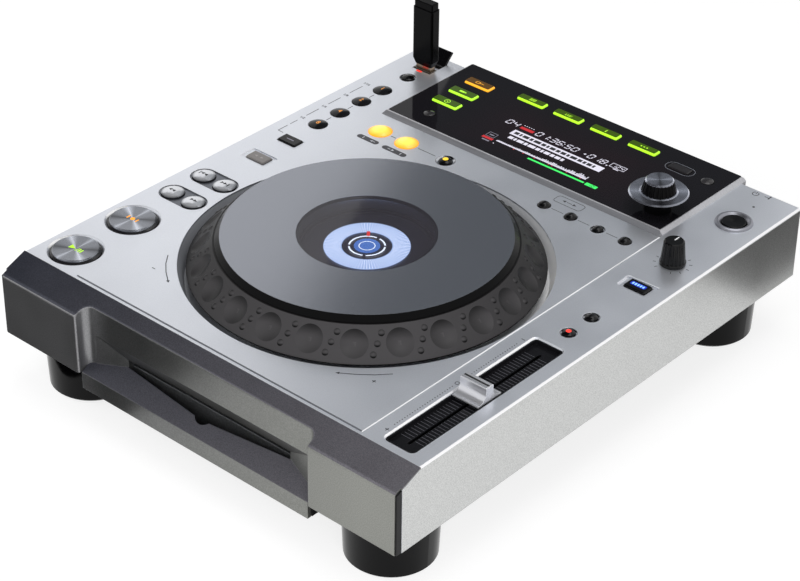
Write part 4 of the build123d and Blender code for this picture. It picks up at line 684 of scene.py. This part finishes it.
def apply_finishes():
    """A finish for every node: its light's, its own, or its slot's."""
    made = {}
    for node, obj in nodes.items():
        if node in OWN_FINISHES:
            finish = OWN_FINISHES[node]()
        else:
            code = LIT_WINDOW_KEYS.get(node)
            key = code or slots[node]
            if key not in made:
                made[key] = lit("key_light_" + code[1:], code) if code else FINISHES[key]()
            finish = made[key]
        obj.data.materials.clear()
        obj.data.materials.append(finish.material)


# ---- flat shapes ----
def line(p, q, width):
    """Outline of a straight stroke between two points."""
    length = dist(p, q)
    nx, ny = -(q[1] - p[1]) / length * width / 2, (q[0] - p[0]) / length * width / 2
    return [(p[0] - nx, p[1] - ny), (q[0] - nx, q[1] - ny), (q[0] + nx, q[1] + ny), (p[0] + nx, p[1] + ny)]


def upright(x, y, half, width):
    """Stroke along Y with its middle at a place."""
    return line((x, y - half), (x, y + half), width)


def path(points, width):
    """Outlines of a stroke through several points."""
    return [line(p, q, width) for p, q in zip(points, points[1:])]


def polar(centre, radius, turn):
    return centre[0] + radius * cos(turn), centre[1] + radius * sin(turn)


def box(centre, size, corner=0.0):
    """Outline of a rectangle, with rounded corners if asked."""
    half_w, half_h = size[0] / 2 - corner, size[1] / 2 - corner
    if not corner:
        return [(centre[0] + sx * half_w, centre[1] + sy * half_h)
                for sx, sy in ((-1, -1), (1, -1), (1, 1), (-1, 1))]
    return [polar((centre[0] + sx * half_w, centre[1] + sy * half_h), corner, (quarter + i / 4) * pi / 2)
            for quarter, (sx, sy) in enumerate(((1, 1), (-1, 1), (-1, -1), (1, -1))) for i in range(5)]


def boxes(places, size, corner=0.0):
    return [box(place, size, corner) for place in places]


def circle(centre, radius, steps=32):
    return [polar(centre, radius, tau * i / steps) for i in range(steps)]


def arc(centre, radius, start, end, width, steps=16):
    """Outline of a curved stroke between two angles in degrees."""
    turns = [radians(start + (end - start) * i / steps) for i in range(steps + 1)]
    return ([polar(centre, radius + width / 2, t) for t in turns]
            + [polar(centre, radius - width / 2, t) for t in reversed(turns)])


def frame_of(centre, size, width):
    """Outlines of the four sides of a thin frame."""
    corners = box(centre, size)
    return path(corners + corners[:1], width)


def arrow_head(tip, direction, size):
    """Outline of a triangular arrow head; direction in degrees."""
    return [tip] + [polar(tip, size, radians(direction + side)) for side in (155, -155)]


def plus(centre, size, width):
    x, y = centre
    half, w = size / 2, width / 2
    return [line((x - half, y), (x + half, y), width),
            line((x, y + w), (x, y + half), width), line((x, y - half), (x, y - w), width)]


def between(low, high):
    """Polygons of a band between two outlines with as many corners."""
    count = len(low)
    return [[low[i], high[i], high[(i + 1) % count], low[(i + 1) % count]] for i in range(count)]


def ring(centre, inner, outer, steps=96):
    return between(circle(centre, inner, steps), circle(centre, outer, steps))


def outline_box(centre, size, corner, width):
    """Polygons of a rounded frame."""
    inner = box(centre, (size[0] - 2 * width, size[1] - 2 * width), corner - width)
    return between(inner, box(centre, size, corner))


def ray(centre, inner, outer, degrees, width):
    """Stroke that points away from a centre."""
    turn = radians(degrees)
    return line(polar(centre, inner, turn), polar(centre, outer, turn), width)


def glyph(text, centre, size):
    """Filled polygons of plain numerals."""
    curve = bpy.data.curves.new("glyph", "FONT")
    curve.body = text
    curve.size = size
    curve.resolution_u = 3
    curve.align_x = curve.align_y = "CENTER"
    curve.fill_mode = "FRONT"
    holder = bpy.data.objects.new("glyph", curve)
    data = holder.to_mesh()
    places = [(centre[0] + v.co.x, centre[1] + v.co.y) for v in data.vertices]
    polygons = [[places[i] for i in face.vertices] for face in data.polygons]
    holder.to_mesh_clear()
    bpy.data.objects.remove(holder)
    bpy.data.curves.remove(curve)
    return polygons


SEGMENTS = {0: "abcdef", 1: "bc", 2: "abged", 3: "abgcd", 4: "fgbc", 5: "afgcd", 6: "afgedc",
            8: "abcdefg"}


def digit(value, corner, w, h, stroke, lean):
    """Outlines of a seven-segment digit whose lower left corner is given."""
    ends = {"a": ((0, h), (w, h)), "b": ((w, h), (w, h / 2)), "c": ((w, h / 2), (w, 0)),
            "d": ((0, 0), (w, 0)), "e": ((0, 0), (0, h / 2)), "f": ((0, h / 2), (0, h)),
            "g": ((0, h / 2), (w, h / 2))}
    outlines = []
    for name in SEGMENTS[value]:
        p, q = ends[name]
        gap = stroke * 0.55
        ux, uy = (q[0] - p[0]) / dist(p, q) * gap, (q[1] - p[1]) / dist(p, q) * gap
        bar = line((p[0] + ux, p[1] + uy), (q[0] - ux, q[1] - uy), stroke)
        outlines.append([(corner[0] + x + lean * y, corner[1] + y) for x, y in bar])
    return outlines


def number(digits, corner, width, height, stroke, pitch, lean=0.2):
    return [outline for i, value in enumerate(digits)
            for outline in digit(value, (corner[0] + i * pitch, corner[1]), width, height, stroke, lean)]


# ---- marks ----
def placed(name, data):
    """New object of this data in the scene."""
    obj = bpy.data.objects.new(name, data)
    bpy.context.scene.collection.objects.link(obj)
    return obj


TREES = {}


def tree_of(node):
    if node not in TREES:
        data = nodes[node].data
        TREES[node] = BVHTree.FromPolygons([v.co.copy() for v in data.vertices],
                                           [tuple(p.vertices) for p in data.polygons])
    return TREES[node]


def drop(tree, x, y):
    """Height in metres of the first surface met from above."""
    hit = tree.ray_cast(Vector((x, y, 1.0)), Vector((0, 0, -1)))[0]
    if hit is None:
        raise ValueError(f"no surface under {x / MM:.1f}, {y / MM - CASE_Y:.1f}")
    return hit.z


def edge_order(p, q):
    """Length of an edge, then its ends, so that both its triangles choose alike."""
    return round(dist(p, q), 6), min(p, q), max(p, q)


def refined(polygons, fine):
    """Triangles of the polygons, with no edge longer than fine."""
    todo, done = [], []
    for polygon in polygons:
        corners = [Vector((x, y, 0.0)) for x, y in polygon]
        todo += [[polygon[i] for i in face] for face in tessellate_polygon([corners])]
    while todo:
        a, b, c = todo.pop()
        p, q, r = max(((a, b, c), (b, c, a), (c, a, b)), key=lambda t: edge_order(t[0], t[1]))
        if edge_order(p, q)[0] <= fine:
            done.append([a, b, c])
        else:
            half = ((p[0] + q[0]) / 2, (p[1] + q[1]) / 2)
            todo += [[p, half, r], [half, q, r]]
    return done


class Marks:
    """Thin raised shapes that follow a surface, gathered in one object.

    A surface is a height in millimetres, or a node whose top the marks follow."""

    def __init__(self, name, surface=None, look=None):
        self.name, self.surface, self.look = name, surface, look
        self.mesh = bmesh.new()
        self.looks = []

    def add(self, polygons, look=None, surface=None, height=INK_T, fine=0.0):
        """A thin solid from polygons in millimetres about the middle of the case.

        Look and surface are the object's own unless given; fine is the longest edge."""
        look = look or self.look
        surface = self.surface if surface is None else surface
        if look not in self.looks:
            self.looks.append(look)
        slot = self.looks.index(look)
        tree = tree_of(surface) if isinstance(surface, str) else None
        flat = bmesh.new()
        for polygon in (refined(polygons, fine) if fine else polygons):
            flat.faces.new([flat.verts.new((x * MM, (y + CASE_Y) * MM, 0.0)) for x, y in polygon])
        bmesh.ops.remove_doubles(flat, verts=flat.verts, dist=1e-7)
        bmesh.ops.recalc_face_normals(flat, faces=flat.faces)
        rows = {}
        for vert in flat.verts:
            base = drop(tree, vert.co.x, vert.co.y) if tree else surface * MM
            rows[vert] = [self.mesh.verts.new((vert.co.x, vert.co.y, base + level * MM))
                          for level in (-SINK, height)]
        for face in flat.faces:
            loop = list(face.verts) if face.normal.z > 0 else list(face.verts)[::-1]
            sides = [[rows[v][1] for v in loop], [rows[v][0] for v in loop[::-1]]]
            sides += [[rows[a][0], rows[b][0], rows[b][1], rows[a][1]]
                      for a, b in zip(loop, loop[1:] + loop[:1])
                      if len(flat.edges.get((a, b)).link_faces) == 1]
            for side in sides:
                self.mesh.faces.new(side).material_index = slot
        flat.free()

    def finish(self, body, slot=None):
        """The object, riding on a body."""
        data = bpy.data.meshes.new(self.name)
        self.mesh.to_mesh(data)
        self.mesh.free()
        for look in self.looks:
            data.materials.append(look.material)
        obj = placed(self.name, data)
        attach(obj, body)


DECK_INK = ink("ink_dark", "#34353b")
PALE_INK = ink("ink_pale", "#dfe2e8")
GREY_INK = ink("ink_grey", "#7c7f88")
WHITE_INK = ink("ink_white", "#f2f3f6")
BLACK_INK = ink("ink_black", "#121214")
PILL_INK = ink("ink_pill", "#3b3c43", 0.4)
CAP_INK = ink("ink_cap", "#020203")
CLOUD_INK = ink("ink_cloud", "#a9a5a3")
COMB_INK = ink("ink_comb", "#47484e")
SCREEN_DARK = ink("screen_dark", "#17151c")
RED_LIGHT = lit_ink("light_red", "#ff3a2e", 1.0)
CUE_LIGHT = lit_ink("light_cue", "#ffa320", 1.05)
NUMERAL_LIGHT = lit_ink("light_numeral", "#ee9a3c", 0.9)
YELLOW_LIGHT = lit_ink("light_yellow", "#ffd63c", 1.0)
LIME_LIGHT = lit_ink("light_lime", "#b6f02a", 0.95)
GREEN_LIGHT = lit_ink("light_green", "#3ff06a", 0.9)
BLUE_LIGHT = lit_ink("light_blue", "#8fc4ff", 1.3)
BLUE_DEEP = lit_ink("light_deep_blue", "#0b34c8", 0.7)
JOG_PALE = lit_ink("jog_pale", "#9fb8ea", 4.6)
JOG_WHITE = lit_ink("jog_white", "#e2ecff", 6.0)
JOG_BLUE = lit_ink("jog_blue", "#4f7fd6", 3.6)
JOG_RED = lit_ink("jog_red", "#e8281c", 4.0)
SCREEN_GREY = lit_ink("screen_grey", "#8d8a98", 0.55)
SCREEN_RED = lit_ink("screen_red", "#c3202a", 0.8)
SCREEN_WHITE = lit_ink("screen_white", "#dbd8e6", 0.9)


def deck_marks():
    """Printing and lights on the case."""
    marks = Marks("case_marks", "upper_case", DECK_INK)
    # standby dot and mark beside the power line at the rear right
    marks.add([circle((130.6, 163.5), 0.8, 20)], BLACK_INK)
    marks.add([arc((122.7, 177.1), 2.0, 120, 420, 0.45), line((122.7, 177.5), (122.7, 179.6), 0.45),
               line((128.6, 178.0), (131.6, 178.0), 0.4), line((131.8, 176.8), (131.8, 180.4), 0.8)])
    # light beside the media pocket
    marks.add([box((-129.9, 157.1), (4.6, 1.8), 0.8)], RED_LIGHT)
    # lines that join the beat loop keys
    for low, high in ((67.8, 72.4), (88.0, 92.6), (108.2, 112.8)):
        marks.add([line((LOOP_X, low), (LOOP_X, high), 0.45)])
    # bracket with fractions along the left edge
    for low, high in ((49.1, 55.5), (63.7, 75.1), (84.0, 95.6), (104.3, 116.3)):
        marks.add([line((EDGE_X, low), (EDGE_X, high), 0.4)])
    marks.add([line((EDGE_X, 38.0), (EDGE_X, 46.5), 0.4), line((EDGE_X, 38.0), (-138.6, 38.0), 0.4)])
    for fraction, y in (("1/2", 60.1), ("1/4", 80.0), ("1/8", 100.5), ("1/16", 120.6)):
        marks.add(glyph(fraction, (EDGE_X, y), 3.0))
    # tempo scale: ticks at both sides of the slot, a dotted scale and its signs
    for i in range(41):
        y = -144.3 + i * 2.525
        for x, side in ((123.0, 1), (139.6, -1)):
            marks.add([line((x, y), (x + side * 6.9, y), 0.34)], COMB_INK, "control_trims")
    for i in range(51):
        if abs(i - 25) > 1:
            marks.add([circle((SCALE_X, -143.8 + i * 2.0), 0.34, 10)])
    marks.add(ring((SCALE_X, SLIDER[1]), 1.0, 1.4, 28))
    marks.add(plus((SCALE_X, -149.6), 2.6, 0.45))
    marks.add([line((SCALE_X - 1.3, -38.2), (SCALE_X + 1.3, -38.2), 0.45)])
    # bracket round the jog mode light
    marks.add(path([(121.4, 41.5), (120.7, 52.6), (142.4, 53.7)], 0.7), PALE_INK)
    marks.finish("player")


def panel_marks():
    """Printing on the centre panel."""
    marks = Marks("panel_marks", "centre_panel", DECK_INK)
    # arrows along the wheel's edge
    for points in ([(-87.2, -110.4), (-81.6, -117.4), (-75.0, -123.6), (-67.6, -129.1)],
                   [(65.5, -130.0), (73.4, -124.6), (80.9, -118.3), (87.4, -111.2)]):
        marks.add(path(points, 0.55))
    marks.add([arrow_head((-66.0, -130.3), -36, 2.4), arrow_head((63.8, -131.1), 214, 2.4)])
    marks.add([line((-84.3, -125.6), (-81.9, -125.6), 0.5)])
    marks.add(plus((84.4, -123.0), 2.4, 0.5))
    # pills before the loop keys
    for x, wide in ((-93.2, 17.0), (-71.3, 19.0)):
        marks.add([box((x, 67.0), (wide, 4.2), 2.05)], PILL_INK)
    for tip, way, bar, tail, end in ((-91.4, 180, -96.9, -90.4, -87.4), (-71.4, 0, -66.1, -76.6, -74.4)):
        marks.add([arrow_head((tip, 67.0), way, 2.2), upright(bar, 67.0, 1.1, 0.5),
                   line((tail, 67.0), (end, 67.0), 0.4)], PALE_INK, PANEL_Z + INK_T, 0.04)
    # lines that join the loop keys
    marks.add([line((-85.2, ROW_Y), (-81.2, ROW_Y), 0.45), line((-62.6, ROW_Y), (-48.6, ROW_Y), 0.45)])
    # outline over the call keys
    marks.add(outline_box((47.5, 91.4), (20.5, 7.6), 2.2, 0.35))
    marks.add([arrow_head((42.4, 91.4), 180, 2.6), arrow_head((52.6, 91.4), 0, 2.6),
               line((45.6, 91.4), (49.4, 91.4), 0.4)])
    # lines that join the small keys of the row
    marks.add([line((a, ROW_Y), (b, ROW_Y), 0.35) for a, b in ((43.2, 52.0), (63.2, 71.6), (84.2, 92.4))])
    marks.finish("player")


def one_mark(name, node, body, look, shapes, fine=0.0):
    """Marks on one node; shapes makes them from the middle of the node."""
    marks = Marks(name, node, look)
    marks.add(shapes(*middle(node)), height=KEY_INK_T, fine=fine)
    marks.finish(body)


def key_mark(name, look, shapes, fine=KEY_FINE, kind="mark"):
    """Marks on one key, riding on it."""
    one_mark(f"{name}_{kind}", name + "_key", name + "_button", look, shapes, fine)


def skip_arrows(x, y, side, bar):
    """Two arrow heads side by side, with a bar before them if asked."""
    way = cos(radians(side))
    first, second = (2.3, -0.3) if bar else (3.1, 0.5)
    shapes = [arrow_head((x + way * reach, y), side, 2.7) for reach in (first, second)]
    return shapes + ([upright(x + way * 3.0, y, 1.5, 0.7)] if bar else [])


def key_marks():
    """Symbols and lights on the keys."""
    for name, side, bar in (("search_back", 180, False), ("search_forward", 0, False),
                            ("track_back", 180, True), ("track_forward", 0, True)):
        key_mark(name, BLACK_INK, lambda x, y: skip_arrows(x, y, side, bar))
    for value in "8421":
        key_mark("beat_loop_" + value, NUMERAL_LIGHT, lambda x, y: glyph(value, (x, y), 4.8))
    for name, size, light in (("reloop", 1.8, YELLOW_LIGHT), ("master_tempo", 1.6, RED_LIGHT)):
        key_mark(name, light, lambda x, y: [circle((x, y), size, 24)], 0.8, "light")
    key_mark("play", LIME_LIGHT, lambda x, y: [
        arrow_head((x - 0.2, y), 0, 4.6), line((x + 0.9, y - 1.7), (x + 2.1, y + 1.7), 0.5),
        upright(x + 3.2, y, 1.6, 0.9), upright(x + 4.9, y, 1.6, 0.9)], 0.0)
    key_mark("cue", CUE_LIGHT, lambda x, y: [
        upright(x - 3.6, y, 1.5, 0.9), circle((x, y), 1.5, 28), upright(x + 3.6, y, 1.5, 0.9)], 0.0)
    key_mark("direction", CLOUD_INK, lambda x, y: [
        arrow_head((x - 3.6, y), 180, 2.4), arrow_head((x + 3.6, y), 0, 2.4)])
    x, y = middle("jog_mode_key")
    marks = Marks("jog_mode_light", "jog_mode_key")
    marks.add([box((x, y + 0.3), (10.4, 3.4), 1.0)], BLUE_DEEP, height=0.04, fine=KEY_FINE)
    marks.add(boxes([(x + dx, y + 0.3) for dx in (-3.6, -1.8, 0.0, 1.8, 3.6)], (1.1, 2.0), 0.3),
              BLUE_LIGHT, height=0.07, fine=KEY_FINE)
    marks.finish("jog_mode_button")
    key_mark("loop_mode", SCREEN_GREY, lambda x, y: [box((x, y), (6.0, 0.8), 0.35)])


# Symbols of the lit keys, drawn about a point.
SYMBOLS = {
    "source_usb": lambda x, y: [box((x - 1.6, y), (3.6, 1.7)), box((x + 1.2, y), (1.4, 1.1))],
    "source_link": lambda x, y: (frame_of((x - 1.6, y), (3.0, 1.9), 0.35)
                                 + [line((x + 0.3, y), (x + 3.2, y), 0.4)]),
    "browse": lambda x, y: [line((x - 2.4, y + dy), (x + 2.4, y + dy), 0.4) for dy in (-1.0, 0.0, 1.0)],
    "tag_list": lambda x, y: (boxes([(x - 2.2, y + dy) for dy in (-1.0, 0.2)], (0.6, 0.6))
                              + [line((x - 1.2, y + dy), (x + 2.4, y + dy), 0.4) for dy in (-1.0, 0.2)]),
    "info": lambda x, y: [box((x, y - 0.5), (0.7, 1.8)), box((x, y + 1.1), (0.7, 0.6))],
    "menu": lambda x, y: boxes([(x + dx, y) for dx in (-2.2, 0.0, 2.2)], (1.0, 1.0)),
}


def window_keys():
    """Dark caps with glowing symbols on the lit keys."""
    for node, code in LIT_WINDOW_KEYS.items():
        name = node[:-4]
        (x, y), (w, d) = middle(node), size_of(node)
        light = lit_ink("symbol_" + name, code, 0.95)
        face = top(node) + CAP_T
        marks = Marks(name + "_cap", face, light)
        marks.add([box((x - 0.5, y + 0.4), (w - 2.8, d - 3.4), 0.8)],
                  cap_finish("cap_" + name, code), top(node), CAP_T)
        if name in SYMBOLS:
            marks.add(SYMBOLS[name](x, y + 0.3), height=KEY_INK_T)
        else:
            marks.add(ring((x, y + 0.3), 1.7, 2.1, 40), height=KEY_INK_T)
            marks.add([circle((x, y + 0.3), 0.55, 20)], height=KEY_INK_T)
        marks.finish(name + "_button")


DASHES = (3.4, 1.6, 4.6, 2.4, 5.2, 3.0, 1.8, 4.0, 2.8, 3.6, 2.0, 4.8, 3.2, 2.2)


def dashes(low, high, y, tall):
    """A row of short blocks in place of a title."""
    shapes, x, turn = [], low, 0
    while x + DASHES[turn % len(DASHES)] < high:
        wide = DASHES[turn % len(DASHES)]
        shapes.append(box((x + wide / 2, y), (wide, tall)))
        x += wide + 0.9
        turn += 1
    return shapes


def window_marks():
    """Printing and lit screen of the display window."""
    marks = Marks("screen_marks", WINDOW_Z, SCREEN_WHITE)
    on_mark = {"surface": WINDOW_Z + INK_T, "height": OVERPRINT_T}
    # outline round the back key, as printed on the window
    marks.add(outline_box((74.4, DISPLAY[1] + 23.0), (20.6, 10.2), 4.8, 0.35), GREY_INK)
    # track, time and tempo digits
    marks.add(number([0, 4], (-41.8, 138.9), 3.4, 4.9, 0.6, 5.2))
    marks.add(boxes([(x, 143.6) for x in (-29.4, -27.6, -25.8, -24.0, -22.2)], (0.7, 0.6)))
    marks.add([box((-25.0, 140.3), (10.2, 2.6))], SCREEN_RED)
    for corner, pair in ((-18.0, (0, 1)), (-6.4, (3, 6)), (5.2, (5, 0))):
        marks.add(number(pair, (corner, 138.9), 3.4, 4.9, 0.6, 5.0))
    marks.add(boxes([(x, 139.6 + rise) for x in (-7.9, 3.6) for rise in (0.0, 2.6)], (0.7, 0.7)))
    marks.add(plus((20.4, 141.0), 1.9, 0.45))
    marks.add(number([0, 1, 8], (23.0, 138.9), 3.2, 4.9, 0.6, 4.8))
    marks.add([box((38.4, 139.2), (1.0, 1.0))])
    marks.add(frame_of((45.4, 142.0), (10.8, 4.6), 0.35))
    marks.add(number([1, 2, 4], (41.4, 140.6), 1.8, 2.8, 0.4, 2.9))
    marks.add([box((45.8, 138.6), (4.0, 0.7))])
    # two rows in place of titles, the upper one on a bright bar
    marks.add([box((4.7, 132.5), (70.6, 6.2))])
    marks.add(dashes(-28.6, 38.6, 132.5, 2.9), SCREEN_DARK, **on_mark)
    marks.add(dashes(-28.0, 18.0, 125.9, 2.9))
    # wave form with cue points below it, and the cache line
    for i in range(88):
        grow = 0.5 + 2.6 * max(0.0, i / 88 - 0.25)
        tall = 0.6 + grow * (0.9 * abs(sin(i * 0.37) * cos(i * 0.11 + 0.6)) + 0.7 * abs(sin(i * 1.9)))
        marks.add([box((-30.4 + i * 0.8, 117.2 + tall / 2), (0.55, tall))])
    marks.add([box((4.4, 117.0), (70.4, 0.7))])
    marks.add(boxes([(x, 115.9) for x in (-16.0, -8.4, 0.4, 11.5, 14.2, 25.6, 36.0)], (0.8, 0.8)),
              SCREEN_RED)
    for x, size, corner in ((19.2, (43.6, 1.5), 0.0), (46.6, (8.6, 3.0), 0.4)):
        marks.add([box((x, 113.3), size, corner)], GREEN_LIGHT)
    marks.add(number([1, 0], (44.4, 112.3), 1.5, 2.0, 0.35, 2.6, 0.1), SCREEN_DARK, **on_mark)
    # signs to the left
    marks.add(frame_of((-37.2, 120.5), (6.4, 5.0), 0.35), SCREEN_GREY)
    for place, size, light in (((-37.2, 120.5), (3.4, 1.1), SCREEN_GREY),
                               ((-37.0, 116.0), (8.2, 2.2), SCREEN_RED),
                               ((-36.4, 113.2), (5.6, 1.2), SCREEN_GREY)):
        marks.add([box(place, size)], light)
    marks.add([circle((-30.0, 113.2), 0.4, 12)])
    marks.finish("player", "window")


def jog_marks():
    """Lit picture of the display inside the wheel."""
    z = top("jog_display")
    marks = Marks("jog_display_marks", z, JOG_WHITE)
    marks.add(ring(JOG, 14.6, 25.1, 120), JOG_PALE)
    for degrees in range(0, 360, 4):
        marks.add([ray(JOG, 15.2, 24.9, degrees, 0.3)], surface=z + INK_T, height=OVERPRINT_T)
    for start, end in ((-52, 34), (44, 88), (100, 214), (226, 298)):
        marks.add([arc(JOG, 10.4, start, end, 0.9, 24)])
    marks.add([circle(JOG, 7.6, 64)], JOG_BLUE)
    marks.add(ring(JOG, 4.4, 4.9, 48), surface=z + INK_T, height=OVERPRINT_T)
    pointer = line((JOG[0] - 6.6, JOG[1] + 8.2), (JOG[0] - 9.8, JOG[1] + 12.2), 2.0)
    marks.add([pointer], JOG_RED, z + INK_T, KEY_INK_T)
    marks.finish("player", "jog_screen")


def knob_marks():
    """Pointer and scale of the knob, and the line on the slider's cap."""
    knob = "vinyl_speed_knob"
    one_mark("vinyl_pointer", knob, "vinyl_knob", WHITE_INK,
             lambda x, y: [line((x, y + 0.4), (x, y + 4.6), 0.8)], 1.2)
    one_mark("slider_line", "tempo_slider", "slider", CAP_INK,
             lambda x, y: [line((x - 8.6, y), (x + 8.6, y), 1.3)])
    marks = Marks("vinyl_scale", "upper_case", DECK_INK)
    for degrees in range(240, -90, -30):
        marks.add([ray(middle(knob), 9.6, 11.4, degrees, 0.4)])
    marks.finish("player")


# ---- stage ----
def world():
    """White to the eye and to reflections, pale as a light."""
    bpy.context.scene.world = made = bpy.data.worlds.new("studio")
    n = Nodes(made)
    back = n.tree.nodes["Background"]
    back.inputs["Color"].default_value = (1.0, 1.0, 1.0, 1.0)
    n.link(n.span(n.seen(), 0.0, 1.0, AMBIENT, 1.0), back.inputs["Strength"])


def floor():
    """White floor that keeps the object's shadow."""
    bpy.ops.mesh.primitive_plane_add(size=40.0)
    plane = bpy.context.object
    plane.name = "floor"
    made = bpy.data.materials.new("floor")
    n = Nodes(made)
    n.tree.nodes.remove(n.tree.nodes["Principled BSDF"])
    cloud = n.node("TexNoise")
    cloud.inputs["Scale"].default_value = 3.0
    diffuse = n.node("BsdfDiffuse")
    tint = n.mix(cloud.outputs["Fac"], (0.29, 0.29, 0.29, 1.0), (0.31, 0.31, 0.31, 1.0))
    n.link(tint, diffuse.inputs["Color"])
    light = n.node("Emission")
    n.link(n.both(n.seen(), FLOOR_LIFT), light.inputs["Strength"])
    total = n.node("AddShader")
    n.link(diffuse.outputs[0], total.inputs[0])
    n.link(light.outputs[0], total.inputs[1])
    n.link(total.outputs[0], n.tree.nodes["Material Output"].inputs["Surface"])
    plane.data.materials.append(made)


def softbox(name, place, target, size, power, shines=False):
    """Soft lamp aimed at a point; only one that shines shows in reflections."""
    data = bpy.data.lights.new(name, "AREA")
    data.shape = "RECTANGLE"
    data.size, data.size_y = size
    data.energy = power
    obj = placed(name, data)
    obj.location = place
    obj.visible_camera = False
    obj.visible_glossy = shines
    obj.rotation_euler = (Vector(target) - Vector(place)).to_track_quat("-Z", "Y").to_euler()


def turned(place, side, head, out):
    """Matrix of an object at a place whose own x, y and z have these directions."""
    return Matrix.Translation(place) @ Matrix((side, head, out)).transposed().to_4x4()


def flag(name, place, across, out, size, grey=0.0):
    """Dark or grey card that only shows in reflections."""
    bpy.ops.mesh.primitive_plane_add(size=1.0)
    card = bpy.context.object
    card.name = name
    s = Shader(name, 1.0, specular=0.0)
    s.colour((0.02, 0.02, 0.02, 1.0))
    s.glow((0.86, 0.93, 1.0, 1.0), grey)
    card.data.materials.append(s.material)
    side, out = Vector(across).normalized(), Vector(out)
    out = (out - side * out.dot(side)).normalized()
    turn = turned(Vector(place), side, out.cross(side), out)
    card.matrix_world = turn @ Matrix.Diagonal((*size, 1.0, 1.0))
    for ray in ("camera", "diffuse", "shadow", "transmission", "volume_scatter"):
        setattr(card, "visible_" + ray, False)


def lights():
    softbox("left", (-0.9, -0.5, 0.45), (-0.08, -0.05, 0.08), (0.6, 0.6), 4.5)
    softbox("overhead", (0.1, 0.1, 1.4), (0.0, 0.0, 0.08), (1.2, 0.9), 8.0, True)
    softbox("right", (0.55, -0.55, 0.3), (0.15, -0.15, 0.06), (0.4, 0.35), 2.2)
    flag("flag_deck", (-0.296, 0.504, 0.533), (0.834, 0.376, 0.403), (-0.507, 0.661, 0.553),
         (0.34, 1.2), 0.2)
    flag("flag_strip", (-0.33, -0.14, 0.5), (1, 0, 0), (-0.552, 0.083, 0.829), (1.0, 0.5))
    flag("flag_front", (-0.32, -0.33, 0.004), (1, 0, 0), (0, 0, 1), (0.5, 0.28))
    flag("flag_side", (0.36, 0.36, 0.004), (1, 0, 0), (0, 0, 1), (0.36, 0.36))


def camera():
    """Three-quarter view from the front right, a little above."""
    azimuth, elevation, roll = radians(41.351), radians(33.27), radians(0.66)
    aim, distance = Vector((6.201, -17.701, 52.34)) * MM, 1.40418
    back = Vector((sin(azimuth) * cos(elevation), -cos(azimuth) * cos(elevation), sin(elevation)))
    right = Vector((cos(azimuth), sin(azimuth), 0.0))
    up = right.cross(-back)
    side = right * cos(roll) + up * sin(roll)
    head = up * cos(roll) - right * sin(roll)
    data = bpy.data.cameras.new("camera")
    data.sensor_width = 36.0
    data.sensor_fit = "HORIZONTAL"
    data.lens = 107.79
    data.clip_start, data.clip_end = 0.05, 100.0
    obj = placed("camera", data)
    obj.matrix_world = turned(aim + back * distance, side, head, back)
    bpy.context.scene.camera = obj


apply_finishes()
deck_marks()
panel_marks()
key_marks()
window_keys()
window_marks()
jog_marks()
knob_marks()
world()
floor()
lights()
camera()
bpy.context.scene.view_settings.view_transform = "Standard"
